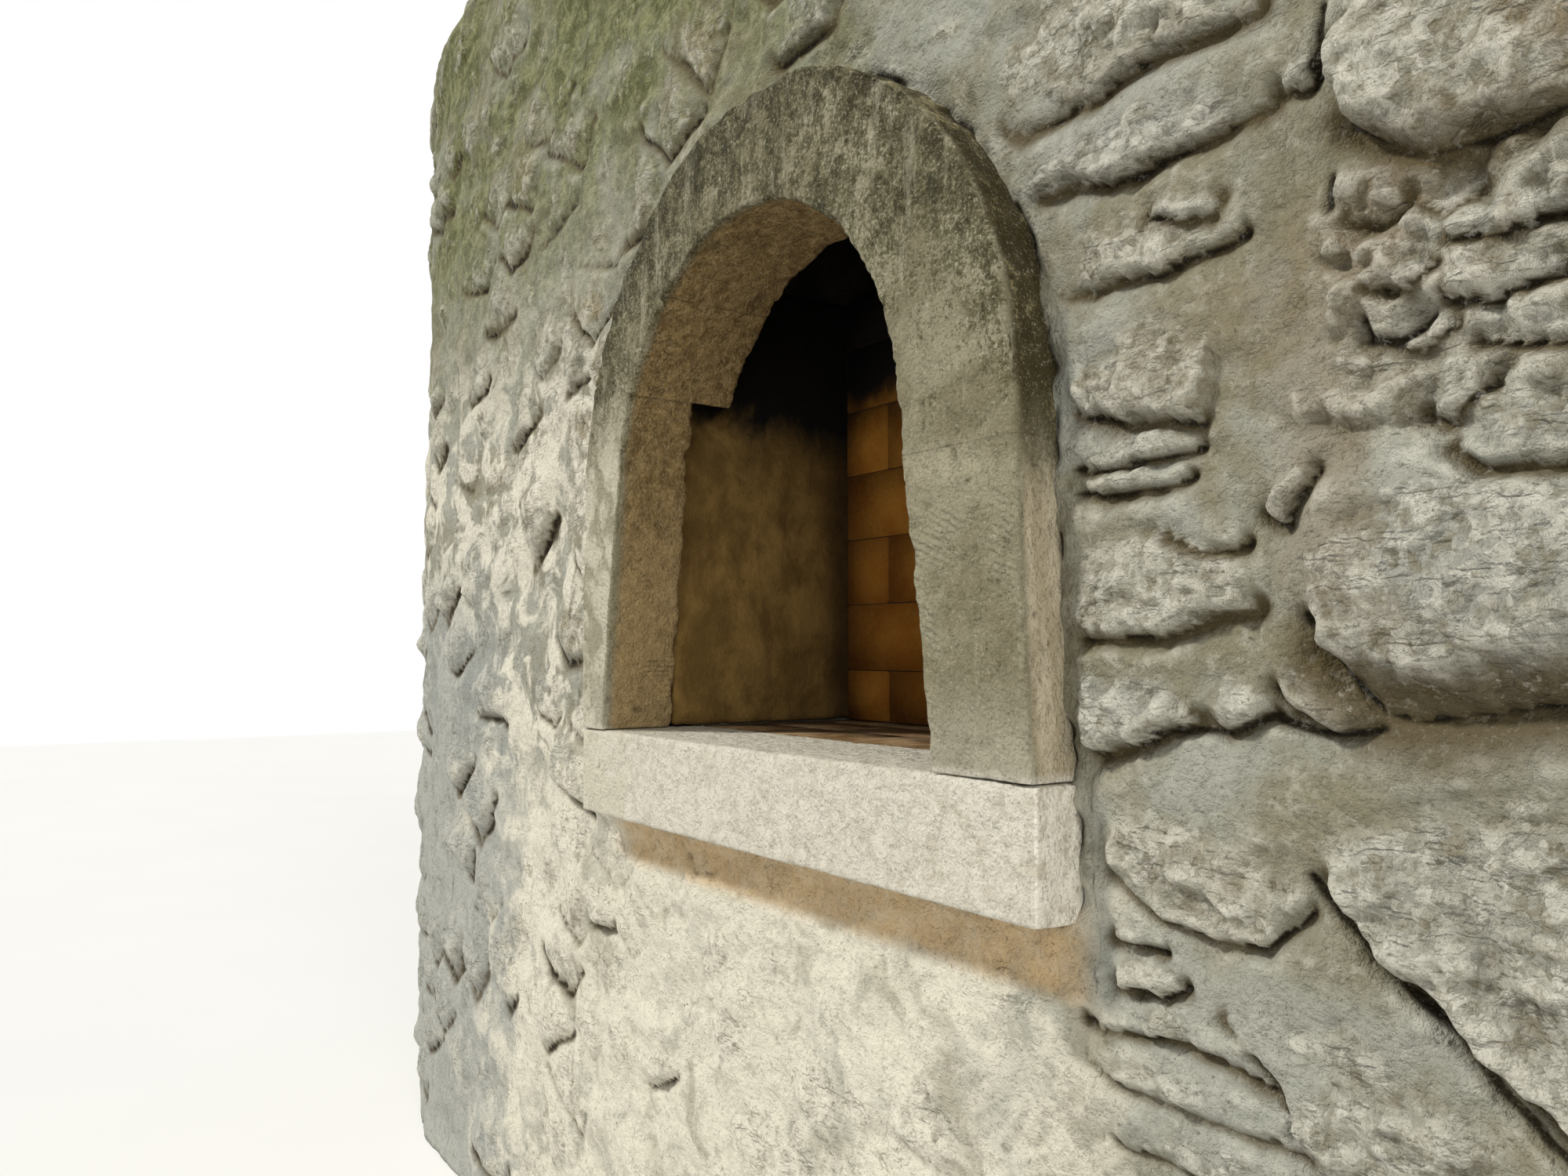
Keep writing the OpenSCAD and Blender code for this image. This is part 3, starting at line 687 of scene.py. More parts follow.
# The stones to the right of the surround, read off the wall: how proud, belly, outline
NEAR_STONES = [
    (0.048, 0.2, [(0.43, 1.632), (0.475, 1.618), (0.52, 1.623), (0.60, 1.636), (0.68, 1.631),
                  (0.722, 1.629), (0.70, 1.665), (0.62, 1.72), (0.50, 1.76), (0.43, 1.76)]),
    (0.042, 0.1, [(0.45, 1.549), (0.52, 1.549), (0.545, 1.538), (0.59, 1.535), (0.63, 1.542),
                  (0.68, 1.541), (0.732, 1.545), (0.74, 1.575), (0.70, 1.592), (0.60, 1.603),
                  (0.50, 1.592), (0.455, 1.575)]),
    (0.034, 0.0, [(0.738, 1.553), (0.762, 1.548), (0.778, 1.565), (0.780, 1.592), (0.757, 1.585)]),
    (0.034, 0.0, [(0.49, 1.447), (0.53, 1.440), (0.57, 1.444), (0.61, 1.440), (0.66, 1.441),
                  (0.70, 1.449), (0.705, 1.47), (0.68, 1.488), (0.61, 1.506), (0.53, 1.500),
                  (0.495, 1.475)]),
    (0.046, 0.0, [(0.605, 1.488), (0.64, 1.474), (0.675, 1.471), (0.682, 1.480), (0.65, 1.492),
                  (0.612, 1.503)]),
    (0.044, 0.1, [(0.505, 1.352), (0.52, 1.326), (0.56, 1.315), (0.61, 1.306), (0.652, 1.299),
                  (0.662, 1.325), (0.672, 1.37), (0.66, 1.395), (0.60, 1.404), (0.53, 1.402),
                  (0.508, 1.385)]),
    (0.030, 0.0, [(0.502, 1.275), (0.55, 1.268), (0.60, 1.272), (0.648, 1.278), (0.652, 1.296),
                  (0.60, 1.302), (0.51, 1.304)]),
    (0.030, 0.0, [(0.51, 1.252), (0.56, 1.243), (0.605, 1.245), (0.638, 1.253), (0.63, 1.266),
                  (0.56, 1.266), (0.515, 1.266)]),
    (0.046, 0.0, [(0.503, 1.122), (0.535, 1.111), (0.575, 1.114), (0.615, 1.115), (0.645, 1.127),
                  (0.67, 1.135), (0.698, 1.136), (0.70, 1.165), (0.68, 1.20), (0.62, 1.235),
                  (0.55, 1.240), (0.505, 1.225)]),
    (0.030, 0.0, [(0.622, 1.200), (0.66, 1.185), (0.695, 1.190), (0.69, 1.215), (0.64, 1.238),
                  (0.625, 1.225)]),
    (0.050, 0.0, [(0.515, 1.055), (0.525, 1.018), (0.545, 1.009), (0.578, 1.021), (0.608, 1.033),
                  (0.638, 1.042), (0.640, 1.065), (0.63, 1.095), (0.56, 1.102), (0.515, 1.095)]),
    (0.032, 0.0, [(0.655, 1.045), (0.672, 1.034), (0.698, 1.044), (0.715, 1.052), (0.705, 1.085),
                  (0.67, 1.092), (0.652, 1.07)]),
    (0.036, 0.0, [(0.718, 1.075), (0.735, 1.052), (0.765, 1.042), (0.792, 1.048), (0.785, 1.07),
                  (0.76, 1.092), (0.73, 1.093)]),
    (0.064, 0.9, [(0.76, 1.10), (0.80, 1.056), (0.84, 1.052), (0.93, 1.070), (1.02, 1.085), (1.06, 1.16),
                  (0.99, 1.205), (0.93, 1.215), (0.85, 1.235), (0.77, 1.22), (0.745, 1.15)]),
    (0.062, 0.4, [(0.792, 1.525), (0.80, 1.500), (0.825, 1.478), (0.85, 1.458), (0.89, 1.455),
                  (0.95, 1.46), (1.03, 1.47), (1.05, 1.56), (1.0, 1.61), (0.90, 1.62), (0.80, 1.60),
                  (0.785, 1.56)]),
    (0.046, 0.2, [(0.80, 1.66), (0.86, 1.635), (0.96, 1.64), (1.02, 1.67), (1.0, 1.78), (0.86, 1.80),
                  (0.79, 1.74)]),
    (0.040, 0.0, [(0.792, 1.428), (0.815, 1.418), (0.835, 1.428), (0.832, 1.448), (0.80, 1.451)]),
    (0.036, 0.0, [(0.845, 1.425), (0.865, 1.415), (0.885, 1.428), (0.875, 1.442), (0.85, 1.444)]),
    (0.044, 0.0, [(0.862, 1.392), (0.90, 1.388), (0.945, 1.40), (0.94, 1.42), (0.90, 1.422),
                  (0.868, 1.408)]),
    (0.030, 0.0, [(0.765, 1.408), (0.79, 1.402), (0.80, 1.418), (0.775, 1.425)]),
    (0.036, 0.0, [(0.80, 1.372), (0.83, 1.365), (0.85, 1.378), (0.84, 1.398), (0.805, 1.402)]),
    (0.040, 0.0, [(0.862, 1.352), (0.90, 1.345), (0.94, 1.355), (0.93, 1.38), (0.87, 1.382)]),
    (0.034, 0.0, [(0.80, 1.335), (0.84, 1.322), (0.87, 1.335), (0.855, 1.352), (0.81, 1.36)]),
    (0.040, 0.0, [(0.885, 1.315), (0.93, 1.305), (0.97, 1.32), (0.96, 1.342), (0.89, 1.34)]),
    (0.044, 0.0, [(0.845, 1.272), (0.862, 1.262), (0.888, 1.285), (0.892, 1.302), (0.868, 1.298)]),
    (0.048, 0.0, [(0.868, 1.240), (0.885, 1.226), (0.925, 1.222), (0.955, 1.238), (0.95, 1.285),
                  (0.91, 1.295), (0.885, 1.268)]),
    (0.034, 0.0, [(0.715, 1.215), (0.728, 1.202), (0.742, 1.222), (0.755, 1.240), (0.745, 1.252),
                  (0.722, 1.240)]),
    (0.026, 0.0, [(0.722, 1.292), (0.742, 1.276), (0.768, 1.280), (0.772, 1.300), (0.745, 1.320),
                  (0.724, 1.312)]),
    (0.026, 0.0, [(0.53, 0.97), (0.545, 0.90), (0.60, 0.865), (0.70, 0.86), (0.745, 0.90), (0.745, 0.95),
                  (0.70, 0.985), (0.60, 0.99)]),
    (0.038, 0.0, [(0.76, 0.925), (0.80, 0.875), (0.85, 0.840), (0.92, 0.785), (1.02, 0.74), (1.03, 1.03),
                  (0.90, 1.03), (0.80, 1.01), (0.76, 0.97)]),
    (0.026, 0.0, [(0.72, 0.74), (0.75, 0.68), (0.85, 0.66), (0.93, 0.70), (0.89, 0.762), (0.83, 0.812),
                  (0.77, 0.858), (0.70, 0.84), (0.66, 0.80)]),
    (0.030, 0.0, [(0.545, 0.838), (0.60, 0.838), (0.607, 0.860), (0.55, 0.862)]),
    (0.032, 0.0, [(0.552, 0.803), (0.60, 0.80), (0.625, 0.815), (0.605, 0.833), (0.555, 0.832)]),
    (0.028, 0.0, [(0.515, 0.757), (0.555, 0.758), (0.62, 0.766), (0.66, 0.762), (0.70, 0.750),
                  (0.70, 0.785), (0.62, 0.797), (0.53, 0.797)]),
    (0.024, 0.0, [(0.52, 0.727), (0.565, 0.712), (0.66, 0.712), (0.74, 0.715), (0.73, 0.745),
                  (0.52, 0.752)]),
    (0.024, 0.0, [(0.55, 0.662), (0.62, 0.660), (0.74, 0.67), (0.74, 0.705), (0.60, 0.705),
                  (0.54, 0.695)]),
]
# The stretch of wall that they take, from its lower left to its upper right corner
HAND_LAID = ((0.47, 0.66), (1.00, 1.79))
# Lines of open cracks between them
CRACKS = [
    [(0.60, 1.0325), (0.67, 1.034), (0.715, 1.048), (0.745, 1.036), (0.80, 1.045)],
    [(0.745, 1.128), (0.758, 1.108), (0.80, 1.060)],
    [(0.779, 1.600), (0.770, 1.552)],
    [(0.779, 1.466), (0.776, 1.440)],
    [(0.796, 1.352), (0.802, 1.334), (0.824, 1.330), (0.845, 1.344)],
    [(0.745, 0.925), (0.79, 0.872), (0.845, 0.832), (0.90, 0.778), (0.96, 0.745)],
]
# Where small rough rubble shows, from left to right and from foot to top
ROUGH_PATCH = (0.745, 1.10, 1.235, 1.475)
# How much of its full height a near stone shows, in the wall and in the rough patch
SHOWN = 0.64
SHOWN_IN_PATCH = 0.48
TANNEST_NEAR = 0.62
NEAR_SEED = 9000
STONE_SEED = 11
# How proud the other stones are, and how many of them are so
PROUD = (0.010, 0.018, 0.028, 0.040)
PROUD_SHARES = (0.26, 0.30, 0.26, 0.18)
MISSING = 0.10
MOST_NEIGHBOURS = 14
HALF_ROOM = 0.3
# Stones are laid on past the seam at the back by this much, so that its two sides match
PAST_SEAM = 0.6
EDGE_MARGIN = 0.06
MOST_PROUD = 0.059


def course_middles(rng):
    """Middles of the stones, laid in rough courses round the whole wall."""
    middles = []
    t = -0.03
    while t < T_RIM + 0.15:
        course = rng.uniform(0.070, 0.150)
        s = -S_HALF + rng.uniform(0, 0.12)
        while s < S_HALF - 0.05:
            wide = course * rng.uniform(0.9, 2.2)
            middles.append((s + wide / 2, t + course * (0.5 + rng.normal(0, 0.17))))
            s += wide
        t += course
    return np.array(middles)


def nearer_side(outline, middle, away):
    """Cuts a convex outline half way towards a neighbour."""
    past = (outline - middle) @ away - 0.5 * (away @ away)
    kept = []
    for k in range(len(outline)):
        p = outline[k - 1]
        q = outline[k]
        if (past[k - 1] < 0) != (past[k] < 0):
            kept.append(p + (q - p) * past[k - 1] / (past[k - 1] - past[k]))
        if past[k] < 0:
            kept.append(q)
    return np.array(kept)


def calm(s, t):
    """How much of its relief the rubble keeps: less where mortar and wash lie thick on it."""
    left = 1 - 0.38 * step(-s, 0.40, 0.60)
    below = 1 - 0.62 * step(0.62 - np.abs(s), 0.0, 0.12) * step(0.90 - t, 0.0, 0.06)
    above = 1 - 0.42 * step(0.50 - s, 0.0, 0.2) * step(t, 1.74, 1.86)
    return np.minimum(np.minimum(left, below), above)


def lay_stones():
    """Every stone of the wall. Each takes the room that its neighbours leave it."""
    rng = np.random.default_rng(STONE_SEED)
    middles = course_middles(rng)
    count = len(middles)
    seeds = np.concatenate([np.arange(count)] * 3)
    spread = np.concatenate([middles + (shift, 0) for shift in (-2 * S_HALF, 0, 2 * S_HALF)])
    near = np.abs(spread[:, 0]) < S_HALF + PAST_SEAM
    seeds = seeds[near]
    spread = spread[near]
    low, high = HAND_LAID
    stones = []
    for middle, seed in zip(spread, seeds):
        rng = np.random.default_rng(1000 + int(seed))
        if rng.uniform() < MISSING:
            continue
        away = spread - middle
        distance = (away ** 2).sum(1)
        outline = middle + HALF_ROOM * np.array([(-1, -1), (1, -1), (1, 1), (-1, 1)])
        for neighbour in np.argsort(distance)[1:MOST_NEIGHBOURS + 1]:
            outline = nearer_side(outline, middle, away[neighbour])
        outline = outline.mean(0) + (outline - outline.mean(0)) * rng.uniform(0.80, 0.95)
        outline += rng.normal(0, 0.005, outline.shape)
        if ((outline > low) & (outline < high)).all(1).any():
            continue
        proud = rng.choice(PROUD, p=PROUD_SHARES) * rng.uniform(0.8, 1.2)
        proud *= calm(middle[0], middle[1])
        stones.append(Stone(outline, proud, rng.uniform(0, 0.3), rng.uniform(), int(seed)))
    x0, x1, z0, z1 = ROUGH_PATCH
    for k, (proud, belly, outline) in enumerate(NEAR_STONES):
        inner = np.array(outline).mean(0)
        buried = x0 < inner[0] < x1 and z0 < inner[1] < z1
        shown = (SHOWN_IN_PATCH if buried else SHOWN) * proud
        tone = TANNEST_NEAR * chance(k, 3, 5, 7)
        stones.append(Stone(np.array(outline), shown, belly, tone, NEAR_SEED + k))
    return stones


all_stones = lay_stones()


def edges_of(outline, s, t):
    """Distance to each edge of an outline, how much each edge faces down, and where is inside."""
    following = np.roll(outline, -1, axis=0)
    area = (outline[:, 0] * following[:, 1] - following[:, 0] * outline[:, 1]).sum()
    if area < 0:
        outline = outline[::-1]
        following = np.roll(outline, -1, axis=0)
    edge = following - outline
    length = np.hypot(edge[:, 0], edge[:, 1]) + 1e-9
    ds = s[..., None] - outline[:, 0]
    dt = t[..., None] - outline[:, 1]
    along = np.clip((ds * edge[:, 0] + dt * edge[:, 1]) / length ** 2, 0, 1)
    distance = np.hypot(ds - along * edge[:, 0], dt - along * edge[:, 1])
    spans = (outline[:, 1] > t[..., None]) != (following[:, 1] > t[..., None])
    run = np.where(np.abs(edge[:, 1]) < 1e-9, 1e-9, edge[:, 1])
    crossed = spans & (ds < dt * edge[:, 0] / run)
    return distance, edge[:, 0] / length, crossed.sum(-1) % 2 == 1


def outside_surround(s, t):
    """How far a point of the front lies outside the dressed surround, less than 0 inside it."""
    x = np.abs(s)
    flare = np.where(s > 0, JAMB_FLARE, 0.0) * (SPRING_Z - t) / (SPRING_Z - HEARTH_Z)
    half = np.where(t > HEARTH_Z, OUTER_R + flare, SILL_RIGHT)
    below = np.hypot(np.clip(x - half, 0, None), BASE_Z - t)
    beside = np.maximum(x - half, BASE_Z - t)
    arch = np.hypot(x, t - SPRING_Z) - OUTER_R
    return np.where(t > SPRING_Z, arch, np.where(t < BASE_Z, below, beside))


def spread_out(grid, cells):
    """A grid smoothed over a few cells each way."""
    for axis in (0, 1):
        rows = np.moveaxis(grid, axis, 0)
        padded = np.pad(rows, ((cells + 1, cells), (0, 0)), mode="edge")
        total = np.cumsum(padded, axis=0)
        rows = (total[2 * cells + 1:] - total[:-2 * cells - 1]) / (2 * cells + 1)
        grid = np.moveaxis(rows, 0, axis)
    return grid


def soften(grid):
    """A grid with each point shared a little with its neighbours."""
    for axis in (0, 1):
        rows = np.moveaxis(grid, axis, 0)
        padded = np.concatenate([rows[:1], rows, rows[-1:]])
        rows = 0.25 * padded[:-2] + 0.5 * padded[1:-1] + 0.25 * padded[2:]
        grid = np.moveaxis(rows, 0, axis)
    return grid


def boxes(s, t, stones):
    """Each stone that reaches the grid, with the part of the grid round it."""
    for stone in stones:
        low = stone.outline.min(0) - EDGE_MARGIN
        high = stone.outline.max(0) + EDGE_MARGIN
        c0, c1 = np.searchsorted(s[0], (low[0], high[0]))
        r0, r1 = np.searchsorted(t[:, 0], (low[1], high[1]))
        if c0 < c1 and r0 < r1:
            yield stone, (slice(r0, r1), slice(c0, c1))


def lip(down, proud):
    """1 on the edges that a stone overhangs, 0 on its top and sides."""
    return step(down, 0.20, 0.75) * step(proud, 0.006, 0.020)


FACE_PLANES = 5


def stone_face(stone, u, v, half):
    """A stone's face over u and v from its middle: a few planes that meet at blunt ridges."""
    rng = np.random.default_rng(stone.seed)
    tilt = rng.normal(0, 0.07, 2)
    face = stone.proud * (1 + rng.uniform(0, 0.15)) + tilt[0] * u + tilt[1] * v
    angles = rng.uniform(0, 2 * math.pi, FACE_PLANES)
    places = rng.uniform(-0.1, 0.7, FACE_PLANES)
    falls = rng.uniform(0.08, 0.45, FACE_PLANES)
    for angle, at, fall in zip(angles, places, falls):
        across = math.cos(angle)
        up = math.sin(angle)
        edge_at = (abs(across) * half[0] + abs(up) * half[1]) * at
        face = np.minimum(face, stone.proud * 1.15 - fall * (u * across + v * up - edge_at))
    return np.clip(face, 0.45 * stone.proud, None)


# A stone leans out from its top, flush with the mortar there, to its lower edge
FLUSH = 0.60
LEAN_BEND = 1.3
# Mortar lies this share of a stone's height against its top and sides, and thins out over the reach
FILL_SHARE = 0.50
FILL_REACH = 0.034
# By how much an edge faces down, from -1 to 1: how far mortar covers it, and how softly it is rounded
SMEAR_BY_FACING = ((-1, -0.2, 0.35, 0.7), (1.0, 0.85, 0.35, 0.0))
RADIUS_BY_FACING = ((-1, -0.3, 0.4, 1), (0.018, 0.012, 0.006, 0.005))
SMALLEST_RADIUS = 1.7
LIP_REACH = 0.020
CRACK_WIDTH = 0.0042
CRACK_CELLS = 1.3
CRACK_DEPTH = 0.012
# Cracks are wider on a coarse grid, and so they are fainter past this spacing
FAINT_CELL = 0.0075
FOOT_HEIGHT = 0.065
CALMEST = 0.35
FAR_OFF = 9.0


def fades(distance, reach):
    """1 at no distance, and hardly anything past twice the reach."""
    return np.exp(-(distance / reach) ** 2)


class Relief:
    """The rubble over a grid of the wall: how far it stands out and sags, and the marks on its finish."""

    def __init__(self, s, t, base, cell):
        self.s = s
        self.t = t
        self.p = base.reshape(-1, 3)
        self.cell = cell
        self.keep = calm(s, t)
        self.warped_s = s + self.lumps(0.060, 3, 3) * 0.011
        self.warped_t = t + self.lumps(0.050, 5, 3) * 0.009
        self.stones = [(stone, box, edges_of(stone.outline, self.warped_s[box], self.warped_t[box]))
                       for stone, box in boxes(s, t, all_stones)]
        self.gap = np.zeros(s.shape)
        self.grime_and_shade = np.zeros(s.shape)
        self.sag = np.zeros(s.shape)
        self.bare = np.zeros(s.shape)
        self.tone = np.full(s.shape, 0.5)
        self.height = self.mortar()
        self.rough = self.broken_faces()
        self.stand_out()
        self.open_cracks()
        self.break_patch()
        self.thicken_wash()
        self.meet_surround()
        self.weather()

    def lumps(self, size, seed, octaves=4, gain=0.5):
        return lumps(self.p, size, seed, octaves, gain).reshape(self.s.shape)

    def flakes(self, size, seed):
        return flakes(self.p, size, seed).reshape(self.s.shape)

    def ledges(self, size, seed):
        return ledges(self.p, size, seed).reshape(self.s.shape)

    def mortar(self):
        """Mortar is smeared flush with the tops and sides of the stones and lies low under their lips."""
        fill = np.zeros(self.s.shape)
        under = np.zeros(self.s.shape)
        for stone, box, (distance, down, inside) in self.stones:
            lift = (np.interp(down, *SMEAR_BY_FACING) * fades(distance, FILL_REACH)).max(-1)
            fill[box] = np.maximum(fill[box], FILL_SHARE * stone.proud * lift)
            below = (fades(distance, 0.011) * lip(down, stone.proud)).max(-1) * ~inside
            under[box] = np.maximum(under[box], below)
        height = self.lumps(0.24, 7, 3) * 0.009 + self.lumps(0.060, 8, 4, 0.6) * 0.0070
        height = height + self.flakes(0.052, 64) * 0.0030 + 0.002
        smooth_cells = max(1, round(0.004 / self.cell))
        return height + spread_out(fill * (1 - 0.85 * under) - 0.003 * under, smooth_cells)

    def broken_faces(self):
        """Stone faces are broken in shelves and flakes, more in some parts of the wall than in others."""
        broken = step(self.lumps(0.16, 12, 3), -0.40, 0.30)
        shelves = self.ledges(0.105, 22) * 0.012 + self.ledges(0.040, 23) * 0.006
        chips = self.flakes(0.058, 21) * 0.013 + self.flakes(0.026, 27) * 0.006
        rough = (shelves + chips) * (CALMEST + (1 - CALMEST) * broken)
        return rough * (CALMEST + (1 - CALMEST) * self.keep)

    def stand_out(self):
        """Raises each stone out of the mortar, with a crack under its lips that is painted dark as shade,
        and dirt there that is partly painted shade.
        """
        fray = step(self.lumps(0.06, 14, 3), -0.5, 0.35)
        jag = self.flakes(0.019, 62) * 0.006 + self.flakes(0.044, 63) * 0.011
        faint = min(1.0, FAINT_CELL / self.cell)
        # The stones of the back and the far end stand out on all their sides
        far_end = step(np.abs(self.s), STRAIGHT_X + 0.4 * END_LENGTH, STRAIGHT_X + 0.6 * END_LENGTH)
        flush = FLUSH * (1 - 0.55 * far_end)
        for stone, box, (distance, down, inside) in self.stones:
            low = stone.outline.min(0)
            high = stone.outline.max(0)
            middle = (low + high) / 2
            lips = lip(down, stone.proud)
            soft = np.minimum(np.interp(down, *RADIUS_BY_FACING), 0.20 * (high - low).min())
            soft = np.maximum(soft, SMALLEST_RADIUS * self.cell)
            near = np.clip(((distance + jag[box][..., None]) / soft).min(-1), 0, 1)
            lipped = (fades(distance, LIP_REACH) * lips).max(-1)
            rise = inside * (smooth(near) * (1 - lipped) + near * lipped)
            to_top = (distance + FAR_OFF * (down > -0.2)).min(-1)
            to_foot = (distance + FAR_OFF * (down < 0.2)).min(-1)
            lean = to_top / (to_top + to_foot + 1e-6)
            foot = step(low[1] + FOOT_HEIGHT - self.warped_t[box], 0.0, FOOT_HEIGHT)
            face = stone_face(stone, self.warped_s[box] - middle[0], self.warped_t[box] - middle[1],
                              (high - low) / 2)
            face = face * (1 - flush[box] * (1 - stone.belly) * (1 - lean) ** LEAN_BEND)
            face = face - stone.belly * stone.proud * foot
            face = face + self.rough[box] * (0.5 + 0.5 * min(1, stone.proud / 0.02))
            gain = np.clip(np.minimum(face, MOST_PROUD) - self.height[box], 0, None) * rise
            covers = step(gain, 0.0003, 0.003)
            self.height[box] += gain
            # The crack under each lip is painted near black as its shade
            crack_width = max(CRACK_WIDTH, CRACK_CELLS * self.cell)
            crack = (fades(distance, crack_width) * lips).max(-1) * ~inside * faint
            crack = crack * (0.25 + 0.75 * fray[box])
            # The dirt under each lip is partly painted shade
            dirt_reach = 0.006 + 0.30 * stone.proud + 0.030 * stone.belly
            dirt = (fades(distance, dirt_reach) * lips).max(-1)
            dirt = dirt * np.where(inside, 0.40 + stone.belly * foot, 1.0)
            self.gap[box] = np.maximum(self.gap[box] * (1 - covers), crack)
            self.grime_and_shade[box] = np.maximum(self.grime_and_shade[box] * (1 - covers), dirt)
            self.sag[box] = self.sag[box] * (1 - covers) + covers * (fades(distance, 0.010) * lips).max(-1)
            self.bare[box] = np.maximum(self.bare[box], covers)
            self.tone[box] = np.where(covers > 0.3, stone.tone, self.tone[box])

    def open_cracks(self):
        for line in CRACKS:
            for ends in zip(line[:-1], line[1:]):
                distance = edges_of(np.array(ends), self.warped_s, self.warped_t)[0].min(-1)
                self.gap = np.maximum(self.gap, 0.9 * fades(distance, 0.0038))
                self.grime_and_shade = np.maximum(self.grime_and_shade, 0.5 * fades(distance, 0.010))

    def break_patch(self):
        """Small rough rubble where the face of the wall has fallen away."""
        x0, x1, z0, z1 = ROUGH_PATCH
        across = step(self.s, x0, x0 + 0.05) * step(self.s, x1, x1 - 0.05)
        patch = across * step(self.t, z0, z0 + 0.04) * step(self.t, z1, z1 - 0.04)
        shards = self.flakes(0.034, 65) * 0.013
        hollows = 0.012 - 0.040 * np.abs(self.lumps(0.055, 33, 4, 0.6))
        self.height += patch * (1 - 0.4 * self.bare) * (hollows + 1.2 * self.rough + shards)
        self.bare = np.maximum(self.bare, 0.8 * patch)

    def thicken_wash(self):
        """Thick mortar and wash are uneven in themselves."""
        self.height += (1 - self.keep) * (self.ledges(0.13, 24) * 0.020 + self.lumps(0.11, 25) * 0.014)

    def meet_surround(self):
        """A rough fillet of mortar where the rubble meets the dressed stones, with an open seam."""
        away = np.where(np.abs(self.s) < STRAIGHT_X, outside_surround(self.s, self.t), 1.0)
        open_wall = step(away, 0.004, 0.030)
        fillet = 0.012 + self.lumps(0.030, 35, 3) * 0.009 + 0.016 * step(-self.s, 0.25, 0.45)
        self.height = fillet + (self.height - fillet) * open_wall
        seam = fades(np.clip(away, 0, None), 0.0055) * step(self.lumps(0.030, 36, 3), -0.25, 0.30)
        self.gap = np.maximum(self.gap * open_wall, 0.85 * seam)
        self.grime_and_shade = np.maximum(self.grime_and_shade * open_wall, 0.6 * seam)
        self.bare = self.bare * open_wall

    def weather(self):
        """Opens the cracks, softens the whole and adds the finest breaks, more of them on bare stone."""
        self.height -= self.gap * CRACK_DEPTH + self.grime_and_shade * (1 - self.bare) * 0.002
        self.height = soften(self.height)
        self.height += self.lumps(0.018, 10, 3, 0.65) * (0.0012 + 0.0022 * self.bare)
        self.height += self.flakes(0.015, 29) * (0.0004 + 0.0018 * self.bare)
        self.sag = soften(self.sag)

    def marks(self):
        """What the finish reads from the mesh."""
        close = spread_out(self.height, max(1, round(0.008 / self.cell)))
        wide = spread_out(self.height, max(2, round(0.030 / self.cell)))
        hollow = 0.5 + (close - self.height) / 0.008 + (wide - self.height) / 0.036
        return {
            "gap": self.gap,
            "grime_and_shade": self.grime_and_shade,
            "bare": spread_out(self.bare, max(1, round(0.007 / self.cell))),
            "tone": soften(self.tone),
            "hollow": np.clip(hollow, 0, 1),
        }


END_ROOM = 0.030


def set_back(height, normal):
    """Lowers the stones at the ends and the back, so that they stay in the wall's outline."""
    far = np.maximum(step(np.abs(normal[..., 0]), 0.50, 0.90), step(normal[..., 1], -0.35, 0.05))
    lowest = 0.002
    lowered = np.where(height > 0, END_ROOM * np.tanh(height / END_ROOM), height) - END_ROOM - lowest
    return height + (lowered - height) * far


def store(mesh, attributes):
    """Puts values for a finish on the points of a mesh."""
    for key, values in attributes.items():
        mesh.attributes.new(key, "FLOAT", "POINT").data.foreach_set("value", values)


def mesh_from(name, verts, faces, attributes=None):
    mesh = bpy.data.meshes.new(name)
    mesh.from_pydata(verts, [], faces)
    store(mesh, attributes or {})
    mesh.update()
    piece = bpy.data.objects.new(name, mesh)
    scene.collection.objects.link(piece)
    return piece


def finish_piece(piece, material, slot, *nodes, smooth_shade=True):
    piece.data.materials.clear()
    piece.data.materials.append(material)
    piece.data.polygons.foreach_set("use_smooth", [smooth_shade] * len(piece.data.polygons))
    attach(piece, "root")
    if nodes:
        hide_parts(*nodes)
    return piece


SKIN = 0.060
BLOCK = 4
# The lips of the stones hang down by this much, and the skin dips below the flat top at its rim
LIP_DROP = 0.0025
RIM_DIP = 0.035


def ticks(start, *runs):
    """Grid lines from start through runs of (end, spacing), each run a whole number of blocks."""
    lines = [np.array([start])]
    for end, cell in runs:
        count = BLOCK * max(1, round(abs(end - start) / cell / BLOCK))
        lines.append(np.linspace(start, end, count + 1)[1:])
        start = end
    return np.concatenate(lines)


def split_squares(grid, kept):
    """Triangles over the kept squares of a grid of points, each square cut along its shorter diagonal."""
    rows, cols = grid.shape[:2]
    number = np.arange(rows * cols).reshape(rows, cols)
    a = number[:-1, :-1][kept]
    b = number[:-1, 1:][kept]
    c = number[1:, 1:][kept]
    d = number[1:, :-1][kept]
    at = grid.reshape(-1, 3)
    other = np.linalg.norm(at[b] - at[d], axis=1) < np.linalg.norm(at[a] - at[c], axis=1)
    first = np.stack([a, b, np.where(other, d, c)], 1)
    second = np.stack([np.where(other, b, a), c, d], 1)
    return np.concatenate([first, second]).tolist()


